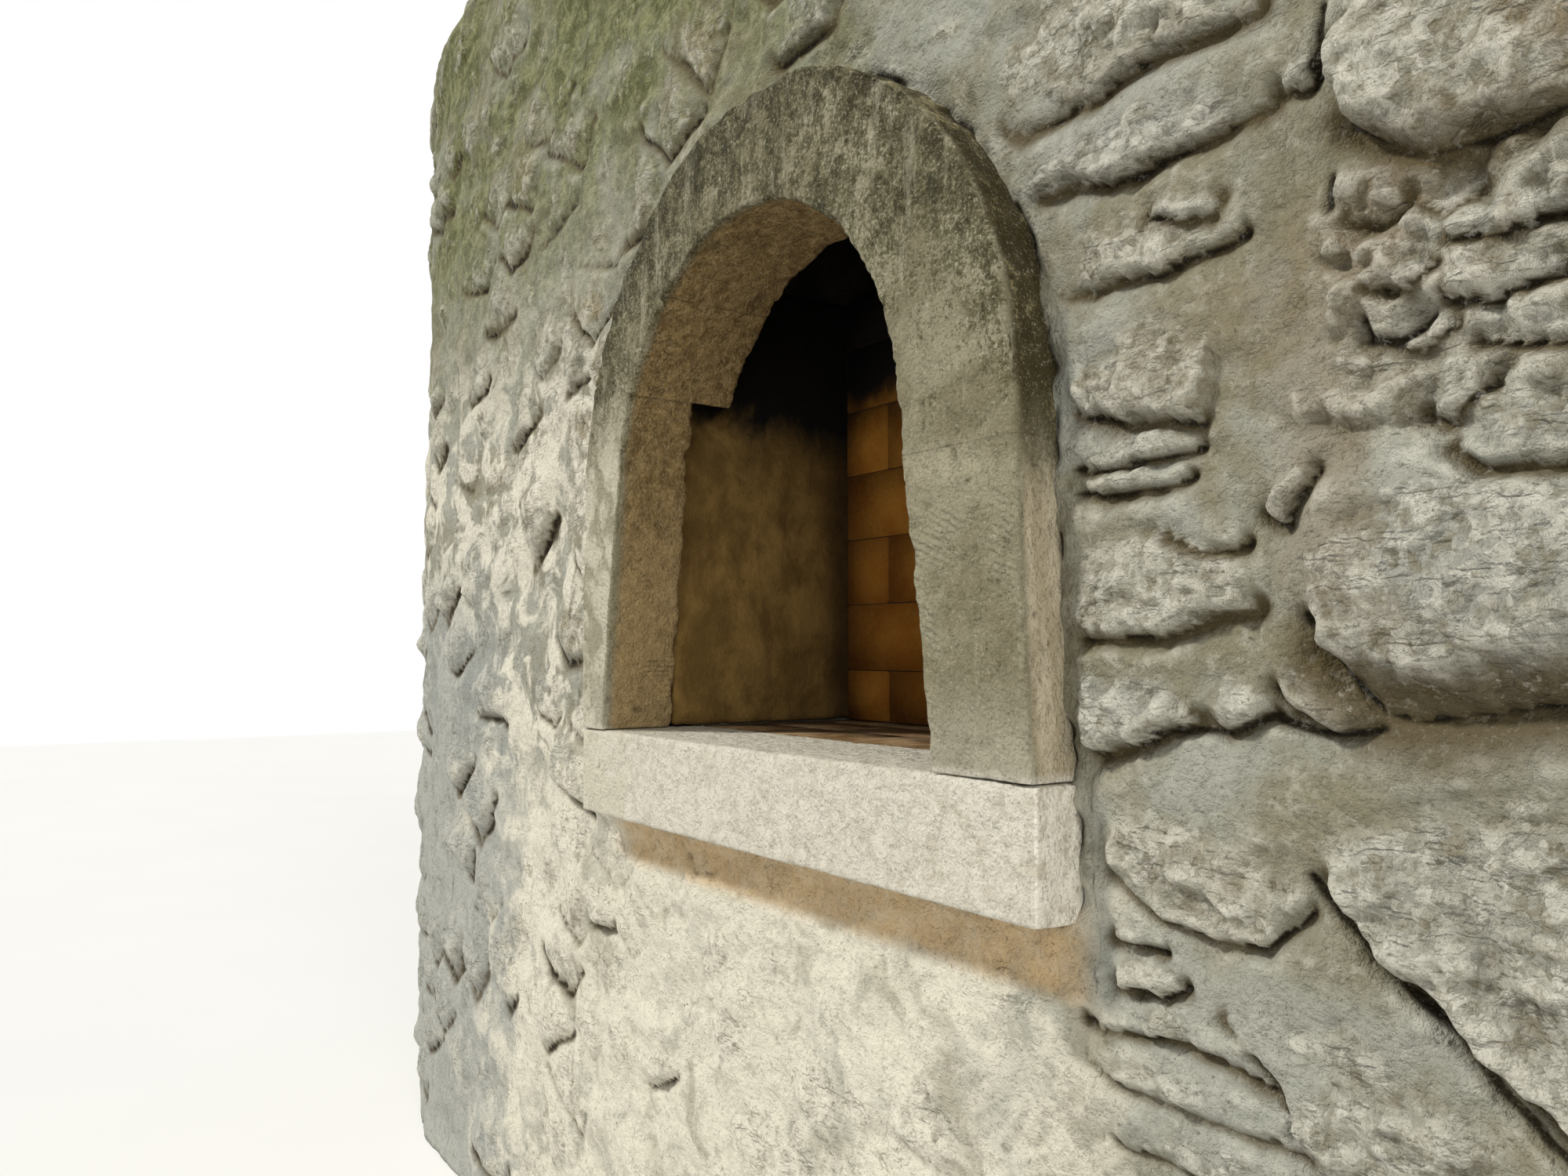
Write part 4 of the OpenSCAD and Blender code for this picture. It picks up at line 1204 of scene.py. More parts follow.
def closed_skin(name, outer, inner, keep, attributes):
    """A closed shell: fine faces outside, one wide face per block of cells inside, walls round the edge.

    outer and inner are grids of points, and keep says which blocks of BLOCK x BLOCK cells stay."""
    rows, cols = outer.shape[:2]
    number = np.arange(rows * cols).reshape(rows, cols)
    faces = split_squares(outer, np.kron(keep, np.ones((BLOCK, BLOCK), bool)))
    padded = np.pad(keep, 1)
    shift = rows * cols
    for i, j in zip(*np.nonzero(keep)):
        r0 = i * BLOCK
        c0 = j * BLOCK
        sides = (
            ([(r0, c0 + k) for k in range(BLOCK + 1)], padded[i, j + 1]),
            ([(r0 + k, c0 + BLOCK) for k in range(BLOCK + 1)], padded[i + 1, j + 2]),
            ([(r0 + BLOCK, c0 + BLOCK - k) for k in range(BLOCK + 1)], padded[i + 2, j + 1]),
            ([(r0 + BLOCK - k, c0) for k in range(BLOCK + 1)], padded[i + 1, j]),
        )
        ring = []
        for path, joined in sides:
            if joined:
                ring.append(path[0])
            else:
                ring.extend(path[:-1])
                for p, q in zip(path[:-1], path[1:]):
                    faces.append([number[q], number[p], number[p] + shift, number[q] + shift])
        faces.append([number[p] + shift for p in reversed(ring)])
    verts = np.concatenate([outer.reshape(-1, 3), inner.reshape(-1, 3)])
    used = np.zeros(len(verts), bool)
    used[[v for face in faces for v in face]] = True
    renumber = np.cumsum(used) - 1
    faces = [[int(renumber[v]) for v in face] for face in faces]
    values = {key: np.concatenate([grid.ravel(), np.zeros(shift)])[used] for key, grid in attributes.items()}
    return mesh_from(name, verts[used].tolist(), faces, values)


def rubble_skin(name, s_lines, t_lines, cell, material, *nodes):
    """The rubble over a stretch of the wall, from the ground to the flat top."""
    s, t = np.meshgrid(s_lines, t_lines)
    base, normal = on_wall(s, t)
    relief = Relief(s, t, base, cell)
    height = set_back(relief.height, normal)
    outer = base + normal * height[..., None]
    outer[..., 2] -= relief.sag * LIP_DROP * step(t, 0.05, 0.10)
    outer[..., 2] -= RIM_DIP * step(t, T_RIM - 0.11, T_RIM - 0.01)
    inner = base - normal * SKIN
    for grid in (outer, inner):
        grid[..., 2] = np.where(t > 0, np.maximum(grid[..., 2], 0.0), 0.0)
    half = BLOCK // 2
    mid_s = s[half:-1:BLOCK, half:-1:BLOCK]
    mid_t = t[half:-1:BLOCK, half:-1:BLOCK]
    keep = (outside_surround(mid_s, mid_t) > -0.035) | (np.abs(mid_s) > STRAIGHT_X)
    piece = closed_skin(name, outer, inner, keep, relief.marks())
    return finish_piece(piece, material, "rubble", *nodes)


# Where the stretches of rubble meet and overlap, and where the right one is finest
LEFT_SEAM = -0.62
RIGHT_SEAM = 0.53
FINE_LOW = 0.50
FINE_HIGH = 1.95
OVERLAP = 0.004
PLAIN_CELL = 0.016


def build_rubble(material):
    """The skin in seven stretches, finest beside the surround on the right, where the camera is near."""
    front_end = STRAIGHT_X + 0.40 * END_LENGTH
    plain = ticks(0, (2.30, 0.0155), (T_RIM, 0.018))
    middle_s = ticks(LEFT_SEAM - OVERLAP, (RIGHT_SEAM + OVERLAP, 0.0062))
    middle_t = ticks(0, (0.40, 0.0085), (2.05, 0.0060), (T_RIM, 0.0105))
    rubble_skin("rubble_over_hearth", middle_s, middle_t, 0.006, material, "hearth_base", "left_front_wall",
                "right_front_wall", "left_spandrel", "right_spandrel", "front_shoulder")
    left_s = ticks(-STRAIGHT_X - OVERLAP, (LEFT_SEAM, 0.0080))
    left_t = ticks(0, (2.30, 0.0085), (T_RIM, 0.011))
    rubble_skin("rubble_left_of_hearth", left_s, left_t, 0.008, material,
                "left_base", "left_wall", "left_shoulder")
    right_s = ticks(RIGHT_SEAM, (0.80, 0.0034), (1.02, 0.0042), (STRAIGHT_X + OVERLAP, 0.012))
    right_t = ticks(0, (FINE_LOW, 0.0090), (FINE_HIGH, 0.0038), (T_RIM, 0.012))
    rubble_skin("rubble_right_of_hearth", right_s, right_t, 0.0037, material,
                "right_base", "right_wall", "right_shoulder")
    left_end_s = -ticks(STRAIGHT_X, (front_end, 0.0100), (S_BACK, 0.018))[::-1]
    left_end_t = ticks(0, (2.30, 0.0110), (T_RIM, 0.014))
    rubble_skin("rubble_left_end", left_end_s, left_end_t, 0.011, material,
                "left_end_base", "left_end_wall", "left_end_shoulder")
    rubble_skin("rubble_right_end", ticks(STRAIGHT_X, (S_BACK, PLAIN_CELL)), plain, PLAIN_CELL, material,
                "right_end_base", "right_end_wall", "right_end_shoulder")
    back_left_s = ticks(-S_HALF, (-S_BACK + OVERLAP, PLAIN_CELL))
    rubble_skin("rubble_back_left", back_left_s, plain, PLAIN_CELL, material, "back_wall", "back_shoulder")
    back_right_s = ticks(S_BACK - OVERLAP, (S_HALF, PLAIN_CELL))
    rubble_skin("rubble_back_right", back_right_s, plain, PLAIN_CELL, material)
    build_top(material)
    build_underside(material)


def plan_grid(half_x, half_y, cell):
    """A grid over the wall's plan, and the middles of its blocks."""
    x, y = np.meshgrid(ticks(-half_x, (half_x, cell)), ticks(-half_y, (half_y, cell)))
    half = BLOCK // 2
    return x, y, x[half:-1:BLOCK, half:-1:BLOCK], y[half:-1:BLOCK, half:-1:BLOCK]


def build_top(material):
    """The flat top inside the rim, left open where the flue comes up."""
    end = END_REACH - RIM_INSET + 0.06
    deep = HALF_T - RIM_INSET + 0.06
    x, y, mid_x, mid_y = plan_grid(STRAIGHT_X + end, deep, 0.018)
    p = np.stack([x.ravel(), y.ravel(), np.full(x.size, TOP_Z)], 1)
    height = lumps(p, 0.10, 41, 4, 0.6) * 0.016 + flakes(p * (1, 1, 0), 0.13, 43) * 0.013 - 0.006
    height = height.reshape(x.shape)
    outwards = np.hypot(np.clip(np.abs(x) - STRAIGHT_X, 0, None) / end, y / deep)
    z = TOP_Z + height - RIM_DIP * step(outwards, 0.78, 0.98)
    outer = np.stack([x, MID_Y + y, z], -1)
    inner = np.stack([x, MID_Y + y, np.full(x.shape, TOP_Z - SKIN)], -1)
    past = np.clip(np.abs(mid_x) - STRAIGHT_X, 0, None) / (end - 0.02)
    keep = past ** 2 + (mid_y / (deep - 0.01)) ** 2 < 1
    flue = (np.abs(mid_x) < FLUE_X + 0.05) & (np.abs(mid_y) < (FLUE_BACK - FLUE_FRONT) / 2 + 0.05)
    keep &= ~flue
    hollow = np.clip(0.5 + (spread_out(height, 2) - height) / 0.012, 0, 1)
    bare = step(height, -0.006, 0.004)
    piece = closed_skin("rubble_top", outer, inner, keep, {"hollow": hollow, "bare": bare})
    return finish_piece(piece, material, "rubble")


def build_underside(material):
    """The mortar bed that the wall stands on, which closes it below."""
    bed = 0.045
    inset = 0.75 * SKIN
    x, y, mid_x, _ = plan_grid(STRAIGHT_X + END_REACH - inset, HALF_T - inset, 0.035)
    bow = np.sqrt(np.clip(1 - (y / (HALF_T - inset)) ** 2, 0, 1))
    x = x * (STRAIGHT_X + (END_REACH - inset) * bow) / x.max()
    p = np.stack([x.ravel(), y.ravel(), np.zeros(x.size)], 1)
    rise = (np.clip(lumps(p, 0.20, 47, 3), 0, 1) * 0.008).reshape(x.shape)
    under = np.stack([x, MID_Y + y, rise], -1)
    over = np.stack([x, MID_Y + y, np.full(x.shape, bed)], -1)
    keep = np.ones(mid_x.shape, bool)
    # Turned left to right, since the bed faces down
    under, over, keep = under[:, ::-1], over[:, ::-1], keep[:, ::-1]
    piece = closed_skin("wall_bedding", under, over, keep, {"bare": np.zeros(rise.shape)})
    return finish_piece(piece, material, "rubble")


# Dressed stones, swept from joint to joint and worn

def outer_reach(angle):
    """How far the outer circle is from the inner circle's middle, at an angle in radians."""
    across = INNER_X * math.cos(angle)
    return -across + math.sqrt(across ** 2 + OUTER_R ** 2 - INNER_X ** 2)


def arch_station(degrees):
    """The inner and the outer point of the arch at an angle from the inner circle's middle."""
    angle = math.radians(degrees)
    way = np.array([math.cos(angle), math.sin(angle)])
    middle = np.array([INNER_X, SPRING_Z])
    return middle + INNER_R * way, middle + outer_reach(angle) * way


def leg_station(z, side):
    """The inner and the outer point of a jamb at a height. Only the right jamb flares at its foot."""
    down = (SPRING_Z - z) / (SPRING_Z - HEARTH_Z)
    inner = INNER_X + side * (INNER_R + JAMB_SPLAY * down)
    outer = side * (OUTER_R + (JAMB_FLARE * down if side > 0 else 0.0))
    return np.array([inner, z]), np.array([outer, z])


def path_of(start, end, cell):
    """Steps from start to end, with close steps by both joints."""
    near = 0.0009
    next_to = 0.004
    count = max(2, round((end - start - 2 * next_to) / cell))
    middle = np.linspace(start + next_to, end - next_to, count)
    return np.concatenate([[start, start + near], middle, [end - near, end]])


def arch_path(a0, a1, cell):
    """Stations of a stone between two joint angles."""
    lengths = path_of(0, math.radians(a1 - a0) * OUTER_R, cell)
    return [arch_station(a0 + math.degrees(length / OUTER_R)) for length in lengths]


def leg_path(z0, z1, side, cell):
    return [leg_station(z, side) for z in path_of(z0, z1, cell)]


def swept_stone(name, stations, back, cell):
    """A closed mesh swept through its stations. Its section is front, outer side, back and reveal."""
    across = max(8, round((OUTER_R - INNER_R) / cell))
    seen_side = np.arange(0, FACE_Y - FRONT_Y + 0.012, cell * 1.1)
    deep = back - FRONT_Y
    hidden = np.linspace(seen_side[-1], deep, 5)[1:]
    reveal = np.linspace(deep, 0, round(deep / (cell * 1.25)) + 1)
    section = [(r, 0.0) for r in np.linspace(0, 1, across + 1)[:-1]]
    section += [(1.0, d) for d in seen_side]
    section += [(1.0, d) for d in hidden]
    section += [(r, deep) for r in (0.8, 0.6, 0.4, 0.2)]
    section += [(0.0, d) for d in reveal[:-1]]
    verts = []
    for inner, outer in stations:
        for r, d in section:
            x, z = inner + (outer - inner) * r
            verts.append((x, FRONT_Y + d, z))
    loop = len(section)
    faces = []
    for i in range(len(stations) - 1):
        for k in range(loop):
            n = (k + 1) % loop
            faces.append((i * loop + k, i * loop + n, (i + 1) * loop + n, (i + 1) * loop + k))
    faces.append(tuple(reversed(range(loop))))
    faces.append(tuple(range((len(stations) - 1) * loop, len(stations) * loop)))
    piece = mesh_from(name, verts, faces)
    bm = bmesh.new()
    bm.from_mesh(piece.data)
    bmesh.ops.recalc_face_normals(bm, faces=bm.faces)
    bm.to_mesh(piece.data)
    bm.free()
    joint = np.zeros((len(stations), loop))
    joint[[0, -1]] = 1.0
    joint[[1, -2]] = 0.35
    return piece, joint


def points_and_normals(mesh):
    p = np.empty(len(mesh.vertices) * 3)
    n = np.empty(len(mesh.vertices) * 3)
    mesh.vertices.foreach_get("co", p)
    mesh.vertex_normals.foreach_get("vector", n)
    return p.reshape(-1, 3), n.reshape(-1, 3)


def from_outer(p):
    """Distance inside the surround's outer edge, and the way inwards from it."""
    x, z = p[:, 0], p[:, 2]
    ring = np.hypot(x, z - SPRING_Z) + 1e-9
    down = np.clip((SPRING_Z - z) / (SPRING_Z - HEARTH_Z), 0, None)
    leg = OUTER_R + np.where(x > 0, JAMB_FLARE, 0.0) * down - np.abs(x)
    arch = z > SPRING_Z
    inwards = np.zeros_like(p)
    inwards[:, 0] = np.where(arch, -x / ring, -np.sign(x))
    inwards[:, 2] = np.where(arch, -(z - SPRING_Z) / ring, 0)
    return np.where(arch, OUTER_R - ring, leg), inwards


def from_inner(p):
    """Distance outside the surround's inner edge, and the way into the stone from it."""
    x, z = p[:, 0] - INNER_X, p[:, 2]
    ring = np.hypot(x, z - SPRING_Z) + 1e-9
    down = np.clip((SPRING_Z - z) / (SPRING_Z - HEARTH_Z), 0, None)
    arch = z > SPRING_Z
    inwards = np.zeros_like(p)
    inwards[:, 0] = np.where(arch, x / ring, np.sign(x))
    inwards[:, 2] = np.where(arch, (z - SPRING_Z) / ring, 0)
    return np.where(arch, ring - INNER_R, np.abs(x) - INNER_R - JAMB_SPLAY * down), inwards


def round_arris(p, da, way_a, db, way_b, radius):
    """Rounds the edge where two faces meet. da and db are the distances inside the two faces."""
    u = np.clip(radius - da, 0, None)
    v = np.clip(radius - db, 0, None)
    reach = np.hypot(u, v) + 1e-9
    excess = np.where((u > 0) & (v > 0), np.clip(reach - radius, 0, None), 0)
    return p + way_a * (excess * u / reach)[:, None] + way_b * (excess * v / reach)[:, None]


INTO_WALL = np.array([0.0, 1.0, 0.0])


def arris_radii(p):
    """How far the outer, inner and back arrises are worn round, and how far they are nibbled."""
    right_high = step(p[:, 0], -0.15, 0.25) * step(p[:, 2], RIGHT_JOINT_Z - 0.04, RIGHT_JOINT_Z + 0.10)
    left = step(-p[:, 0], 0.10, 0.35)
    crumble = step(lumps(p, 0.045, 71, 4, 0.6), -0.30, 0.55)
    nibble = step(lumps(p, 0.017, 72, 3, 0.6), -0.10, 0.50)
    broken = step(lumps(p, 0.075, 79, 3, 0.5), 0.05, 0.45)
    outer = 0.003 + 0.006 * crumble + 0.004 * nibble + left * 0.008 * crumble
    outer += right_high * (0.001 + 0.006 * crumble + 0.007 * nibble + 0.014 * broken)
    inner = 0.003 + 0.004 * crumble + 0.007 * nibble
    back = 0.005 + 0.012 * crumble + 0.010 * nibble
    return outer, inner, back, nibble


def wear_arch_stone(piece, joint, back):
    """Wears a stone of the arch. All its wear follows its place, so neighbours still meet at their joint."""
    mesh = piece.data
    start, n = points_and_normals(mesh)
    # The end loops take their neighbours' normals, so that they stay in the plane of the joint
    ways = n.reshape(*joint.shape, 3)
    ways[:2] = ways[2]
    ways[-2:] = ways[-3]
    joint = joint.ravel()
    d_out, way_out = from_outer(start)
    d_in, way_in = from_inner(start)
    d_front = start[:, 1] - FRONT_Y
    d_back = back - start[:, 1]
    outer_radius, inner_radius, back_radius, nibble = arris_radii(start)
    into_front = np.broadcast_to(INTO_WALL, start.shape)
    p = round_arris(start, d_front, into_front, d_out, way_out, outer_radius)
    p = round_arris(p, d_front, into_front, d_in, way_in, inner_radius)
    p = round_arris(p, d_back, -into_front, d_in, way_in, back_radius)
    # The faces are wavy, pitted and flaked, the reveal a little more, and the joints are grooved
    wave = lumps(start, 0.13, 73, 3) * 0.0026 + lumps(start, 0.030, 74, 3) * 0.0016
    pits = step(lumps(start, 0.016, 75, 3, 0.6), 0.24, 0.60)
    high_up = step(start[:, 2], SPRING_Z - 0.1, SPRING_Z + 0.1)
    flaked = step(lumps(start, 0.070, 76, 4, 0.55), 0.22, 0.34) * (0.35 + 0.65 * high_up)
    reveal = step(d_in, 0.016, 0.003)
    reveal_wear = 0.0035 * reveal * step(lumps(start, 0.05, 77, 3), 0.1, 0.5)
    move = wave - 0.0026 * pits - 0.0030 * flaked - reveal_wear
    p = p + n * (move - 0.0010)[:, None]
    edge = step(np.minimum(np.minimum(d_front, d_out), d_in), 0.002, 0.0)
    groove = 0.0010 * joint * step(lumps(start, 0.05, 78, 2), -0.3, 0.4)
    p -= n * (groove * edge)[:, None]
    p[:, 1] = np.clip(p[:, 1], FRONT_Y, back)
    p[:, 2] = np.clip(p[:, 2], HEARTH_Z, None)
    mesh.vertices.foreach_set("co", p.ravel())
    near_edge = step(np.minimum(d_in, d_out), 0.014, 0.003)
    store(mesh, {
        "rim": step(d_out, 0.100, 0.015) * step(d_out + 0.006 * nibble, 0.001, 0.009),
        "reveal": reveal * step(d_in, 0.016, 0.006),
        "side": step(d_out, 0.008, 0.001) * step(d_front, 0.002, 0.012),
        "hollow": np.clip(0.75 * pits + 0.35 * flaked + 0.3 * nibble * near_edge, 0, 1),
        "joint": joint * edge,
    })
    mesh.update()
    return piece


def apply_modifiers(piece):
    """Turns what a piece's modifiers make into its own mesh."""
    solid = bpy.data.meshes.new_from_object(piece.evaluated_get(bpy.context.evaluated_depsgraph_get()))
    piece.modifiers.clear()
    piece.data = solid
    return piece


def box_piece(name, size, middle=(0, 0, 0), rounding=0.0):
    bm = bmesh.new()
    bmesh.ops.create_cube(bm, size=1)
    bmesh.ops.scale(bm, vec=size, verts=bm.verts)
    bmesh.ops.translate(bm, vec=middle, verts=bm.verts)
    if rounding:
        bmesh.ops.bevel(bm, geom=bm.edges, offset=rounding, segments=2, affect="EDGES")
    mesh = bpy.data.meshes.new(name)
    bm.to_mesh(mesh)
    bm.free()
    return bpy.data.objects.new(name, mesh)


def block(name, low, high, cell):
    """A block between two corners, as an even mesh of small faces."""
    size = [b - a for a, b in zip(low, high)]
    piece = box_piece(name, size, [(a + b) / 2 for a, b in zip(low, high)])
    scene.collection.objects.link(piece)
    remesh = piece.modifiers.new("even", "REMESH")
    remesh.mode = "VOXEL"
    remesh.voxel_size = cell
    remesh.adaptivity = 0
    return apply_modifiers(piece)


def wear_block(piece, low, high, radius, rough, seed, finish=True):
    """Rounds a block's edges by an uneven radius and roughens its faces, always inwards."""
    mesh = piece.data
    start, n = points_and_normals(mesh)
    p = start.copy()
    crumble = step(lumps(p, 0.045, seed, 4, 0.6), -0.25, 0.60)
    nibble = step(lumps(p, 0.018, seed + 1, 3, 0.6), 0.0, 0.55)
    size = radius * (0.35 + 0.9 * crumble + 0.6 * nibble)
    ways = np.eye(3)
    for a, b in ((0, 1), (0, 2), (1, 2)):
        for from_a in (0, 1):
            for from_b in (0, 1):
                da = high[a] - p[:, a] if from_a else p[:, a] - low[a]
                db = high[b] - p[:, b] if from_b else p[:, b] - low[b]
                way_a = np.broadcast_to(-ways[a] if from_a else ways[a], p.shape)
                way_b = np.broadcast_to(-ways[b] if from_b else ways[b], p.shape)
                p = round_arris(p, da, way_a, db, way_b, size)
    pits = step(lumps(start, 0.020, seed + 3, 3, 0.6), 0.26, 0.62)
    move = (lumps(start, 0.12, seed + 2, 3) - 1) * 0.4 * rough - 0.5 * rough * pits
    p = np.clip(p + n * move[:, None], low, high)
    mesh.vertices.foreach_set("co", p.ravel())
    if finish:
        store(mesh, {"hollow": 0.7 * pits, "side": step(start[:, 0], high[0] - 0.008, high[0] - 0.001)})
    mesh.update()
    return piece


FINE = 0.0036
MEDIUM = 0.0044


def build_surround(stone):
    left_turn = [arch_station(a) for a in np.linspace(180, SPRINGER_JOINT, 40)[1:]]
    left_jamb = leg_path(HEARTH_Z, SPRING_Z, -1, MEDIUM)[:-3] + left_turn
    right_turn = [arch_station(a) for a in np.linspace(0, 4, 7)[1:-1]]
    right_leg = leg_path(RIGHT_JOINT_Z, SPRING_Z, 1, FINE)[:-3]
    right_arch = right_leg + right_turn + arch_path(4, CROWN_RIGHT_JOINT, FINE)[2:]
    right_jamb = leg_path(HEARTH_Z, RIGHT_JOINT_Z, 1, FINE)
    springer = arch_path(HAUNCH_JOINT, SPRINGER_JOINT, MEDIUM)
    haunch = arch_path(CROWN_LEFT_JOINT, HAUNCH_JOINT, MEDIUM)
    crown = arch_path(CROWN_RIGHT_JOINT, CROWN_LEFT_JOINT, MEDIUM)
    for name, stations, back, node, cell in (
            ("left_jamb_stone", left_jamb, JAMB_BACK, "left_jamb", MEDIUM),
            ("right_jamb_stone", right_jamb, JAMB_BACK, "right_jamb", FINE),
            ("left_springer_stone", springer, ARCH_BACK, "left_springer", MEDIUM),
            ("left_haunch_stone", haunch, ARCH_BACK, "left_voussoir", MEDIUM),
            ("crown_stone_worn", crown, ARCH_BACK, "crown_stone", MEDIUM),
            ("right_arch_stone_worn", right_arch, ARCH_BACK, "right_arch_stone", FINE)):
        piece, joint = swept_stone(name, stations, back, cell)
        finish_piece(wear_arch_stone(piece, joint, back), stone, "dressed_stone", node)
    low = (SILL_LEFT, FRONT_Y, BASE_Z)
    high = (SILL_RIGHT, ARCH_BACK, HEARTH_Z)
    sill = wear_block(block("sill_stone", low, high, 0.0046), low, high, 0.007, 0.0035, 60)
    finish_piece(sill, stone, "dressed_stone", "sill")


# Brickwork laid by Geometry Nodes

def new_tree(name, inputs):
    tree = bpy.data.node_groups.new(name, "GeometryNodeTree")
    tree.interface.new_socket("Geometry", in_out="INPUT", socket_type="NodeSocketGeometry")
    tree.interface.new_socket("Geometry", in_out="OUTPUT", socket_type="NodeSocketGeometry")
    for label, kind in inputs:
        tree.interface.new_socket(label, in_out="INPUT", socket_type="NodeSocket" + kind)
    return tree, tree.nodes.new("NodeGroupInput").outputs, tree.nodes.new("NodeGroupOutput").inputs


def laying_tree(material):
    """Sets one brick on each point, turned and sized a little by chance."""
    inputs = [("Brick", "Object"), ("Turn", "Float"), ("Smallest", "Float"), ("Largest", "Float"),
              ("Seed", "Int")]
    tree, given, result = new_tree("lay_bricks", inputs)
    unit = add_node(tree, "GeometryNodeObjectInfo", {"Object": given["Brick"]})
    back = add_node(tree, "ShaderNodeMath", {0: given["Turn"], 1: -1.0}, operation="MULTIPLY")
    least = add_node(tree, "ShaderNodeCombineXYZ", {axis: back.outputs[0] for axis in "XYZ"})
    most = add_node(tree, "ShaderNodeCombineXYZ", {axis: given["Turn"] for axis in "XYZ"})
    spin = add_node(tree, "FunctionNodeRandomValue", {
        "Min": least.outputs[0], "Max": most.outputs[0], "Seed": given["Seed"]}, data_type="FLOAT_VECTOR")
    grow = add_node(tree, "FunctionNodeRandomValue", {
        2: given["Smallest"], 3: given["Largest"], "Seed": given["Seed"]}, data_type="FLOAT")
    span = add_node(tree, "GeometryNodeInputNamedAttribute", {"Name": "span"}, data_type="FLOAT_VECTOR")
    size = add_node(tree, "ShaderNodeVectorMath", {0: span.outputs[0], 1: grow.outputs[1]},
                    operation="MULTIPLY")
    laid = add_node(tree, "GeometryNodeInstanceOnPoints", {
        "Points": given["Geometry"], "Instance": unit.outputs["Geometry"],
        "Rotation": spin.outputs[0], "Scale": size.outputs[0]})
    tint = add_node(tree, "FunctionNodeRandomValue", {"Seed": given["Seed"]}, data_type="FLOAT")
    toned = add_node(tree, "GeometryNodeStoreNamedAttribute", {
        "Geometry": laid.outputs[0], "Value": tint.outputs[1], "Name": "tone"},
        data_type="FLOAT", domain="INSTANCE")
    real = add_node(tree, "GeometryNodeRealizeInstances", {0: toned.outputs[0]})
    coat = add_node(tree, "GeometryNodeSetMaterial", {0: real.outputs[0], "Material": material})
    tree.links.new(coat.outputs[0], result[0])
    return tree


def brick_unit(name, length, depth, height):
    """A firebrick with rounded arrises, around its own middle."""
    return box_piece(name, (length, depth, height), rounding=0.0022)


def socket_id(tree, label):
    return next(item.identifier for item in tree.interface.items_tree
                if item.name == label and item.in_out == "INPUT")


def lay(name, points, spans, tree, unit, turn, smallest, largest, seed):
    """Lays bricks on points and gives back one plain mesh."""
    mesh = bpy.data.meshes.new(name)
    mesh.from_pydata(points, [], [])
    spread = mesh.attributes.new("span", "FLOAT_VECTOR", "POINT")
    spread.data.foreach_set("vector", np.array(spans, float).ravel())
    piece = bpy.data.objects.new(name, mesh)
    scene.collection.objects.link(piece)
    modifier = piece.modifiers.new("lay", "NODES")
    modifier.node_group = tree
    given = (("Brick", unit), ("Turn", turn), ("Smallest", smallest), ("Largest", largest), ("Seed", seed))
    for label, value in given:
        modifier[socket_id(tree, label)] = value
    return apply_modifiers(piece)


BRICK_LENGTH = 0.230
BRICK_HEIGHT = 0.114
BRICK_JOINT = 0.0016
CUT_COURSE = 0.0885
HEARTH_BRICK_DEPTH = 0.114
HEARTH_ROWS = 3


def brick_row(row, cut, start):
    """The middle and the width of each brick of a row, with a cut brick at its left or right end."""
    x = start
    for share in (1, 1, 1, cut) if row % 2 else (cut, 1, 1, 1):
        step_on = share * (BRICK_LENGTH + BRICK_JOINT)
        yield x + (step_on - BRICK_JOINT) / 2, step_on - BRICK_JOINT
        x += step_on


def build_brick_back(tree, brick, joint):
    """Brick courses on edge, the lowest one cut to height, on a bed of joint mortar."""
    thick = BRICK_BACK - BRICK_Y
    unit = brick_unit("edge_brick", BRICK_LENGTH, thick - 0.004, BRICK_HEIGHT)
    points = []
    spans = []
    z = HEARTH_Z
    row = 0
    while z < THROAT_Z - 0.01:
        high = min(CUT_COURSE if row == 0 else BRICK_HEIGHT + BRICK_JOINT, THROAT_Z - z)
        for middle, wide in brick_row(row, 0.5, -SIDE_X + 0.001):
            points.append((middle, BRICK_Y + thick / 2, z + high / 2))
            spans.append((wide / BRICK_LENGTH, 1, (high - BRICK_JOINT) / BRICK_HEIGHT))
        z += high
        row += 1
    wall = lay("firebrick_courses", points, spans, tree, unit, math.radians(0.2), 0.996, 1.0, 5)
    finish_piece(wall, brick, "firebrick", "firebrick_back")
    low = (-LINING_X, BRICK_Y + 0.005, HEARTH_Z)
    high = (LINING_X, BRICK_BACK, THROAT_Z)
    finish_piece(block("firebrick_bedding", low, high, 0.014), joint, "firebrick")


def build_hearth_floor(tree, brick):
    unit = brick_unit("flat_brick", BRICK_LENGTH, HEARTH_BRICK_DEPTH, HEARTH_Z - SLAB_Z - 0.002)
    points = []
    spans = []
    deep = (BRICK_BACK - ARCH_BACK) / HEARTH_ROWS
    for row in range(HEARTH_ROWS):
        for middle, wide in brick_row(row, 0.68, -LINING_X):
            points.append((middle, ARCH_BACK + deep * (row + 0.5), (HEARTH_Z + SLAB_Z) / 2))
            spans.append((wide / BRICK_LENGTH, (deep - BRICK_JOINT) / HEARTH_BRICK_DEPTH, 1))
    floor = lay("hearth_floor_bricks", points, spans, tree, unit, math.radians(0.3), 0.992, 0.998, 8)
    finish_piece(floor, brick, "hearth_brick", "hearth_slab")


def build_brickwork(brick, joint):
    tree = laying_tree(brick)
    build_brick_back(tree, brick, joint)
    build_hearth_floor(tree, brick)


def rough_block(name, low, high, cell, rough, seed, material, slot, *nodes):
    """A block of rough masonry between two corners, worn inwards."""
    piece = wear_block(block(name, low, high, cell), low, high, rough, rough, seed, finish=False)
    return finish_piece(piece, material, slot, *nodes)


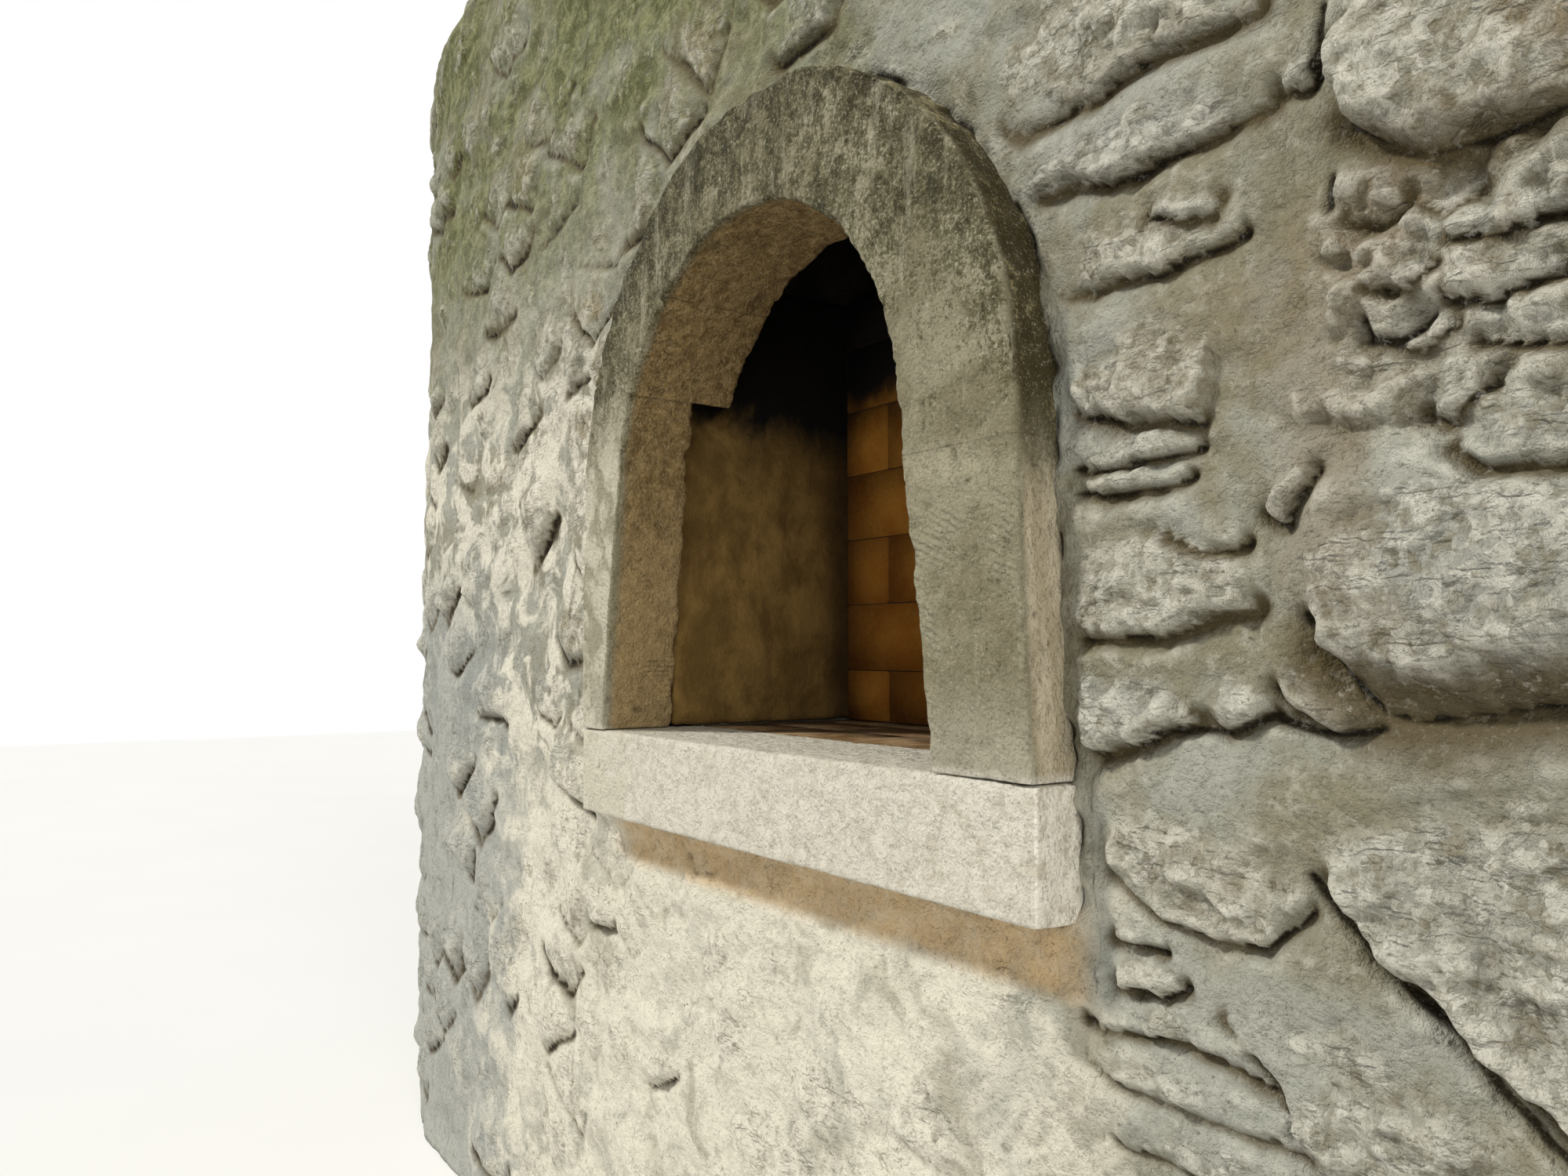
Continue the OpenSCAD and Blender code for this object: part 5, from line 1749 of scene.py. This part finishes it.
def build_chamber(plaster, soot, rubble_core):
    """The smoke chamber and flue behind the arch, and the plastered sides."""
    bay_x = -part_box("left_cheek")[0][0]
    for side, node in ((-1, "left_lining"), (1, "right_lining")):
        low_x, high_x = sorted((side * SIDE_X, side * LINING_X))
        low = (low_x, JAMB_BACK + 0.002, HEARTH_Z)
        high = (high_x, BRICK_Y + 0.03, THROAT_Z)
        rough_block(node + "_plaster", low, high, 0.008, 0.004, 70 + side, plaster, "plaster", node)
    shelf_back = 0.30
    wall = 0.10
    rough_block("smoke_shelf", (-bay_x, BRICK_BACK, THROAT_Z - 0.3), (bay_x, shelf_back, THROAT_Z),
                0.025, 0.010, 81, soot, "soot")
    rough_block("smoke_chamber_back", (-bay_x, FLUE_BACK, THROAT_Z), (bay_x, FLUE_BACK + wall, SHOULDER_Z),
                0.025, 0.010, 82, soot, "soot", "smoke_shelf_wall")
    rough_block("breast_lining", (-bay_x, ARCH_BACK - 0.05, SPRING_Z + INNER_R + 0.05),
                (bay_x, ARCH_BACK, SHOULDER_Z), 0.025, 0.004, 83, soot, "soot")
    lid = 0.08
    for name, x0, x1, y0, y1 in (
            ("flue_lining_front", -FLUE_X - wall, FLUE_X + wall, FLUE_FRONT - wall, FLUE_FRONT),
            ("flue_lining_back", -FLUE_X - wall, FLUE_X + wall, FLUE_BACK, FLUE_BACK + wall),
            ("flue_lining_left", -FLUE_X - wall, -FLUE_X, FLUE_FRONT, FLUE_BACK),
            ("flue_lining_right", FLUE_X, FLUE_X + wall, FLUE_FRONT, FLUE_BACK)):
        rough_block(name, (x0, y0, SHOULDER_Z), (x1, y1, TOP_Z - 0.01), 0.022, 0.006, 84, soot, "soot")
    low = (-FLUE_X - wall, ARCH_BACK, SHOULDER_Z)
    high = (FLUE_X + wall, FLUE_FRONT, SHOULDER_Z + lid)
    rough_block("throat_lid", low, high, 0.025, 0.006, 88, soot, "soot")
    for node in ("left_gather", "right_gather"):
        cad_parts[node].data.materials.clear()
        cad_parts[node].data.materials.append(soot)
    for node in ("left_cheek", "right_cheek", "hearth_bed"):
        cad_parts[node].data.materials.clear()
        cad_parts[node].data.materials.append(rubble_core)


def build_kerb(stone):
    for k, side in enumerate(("front", "back", "left", "right")):
        node = "flue_kerb_" + side
        low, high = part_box(node)
        low = (low[0], low[1], low[2] - 0.02)
        piece = wear_block(block(node + "_stone", low, high, 0.0085), low, high, 0.020, 0.009, 140 + 9 * k)
        finish_piece(piece, stone, "kerb_stone", node)


def build_floor():
    bpy.ops.mesh.primitive_plane_add(size=30)
    floor = bpy.context.object
    floor.name = "studio_floor"
    floor.data.materials.append(studio_floor())


set_camera()
set_lamps()
set_sky()
rubble = limewashed_rubble()
build_rubble(rubble)
build_surround(dressed_limestone())
build_brickwork(buff_firebrick(), dark_joint())
build_chamber(smoked_plaster(), soot_crust(), rubble)
build_kerb(rubble)
build_floor()
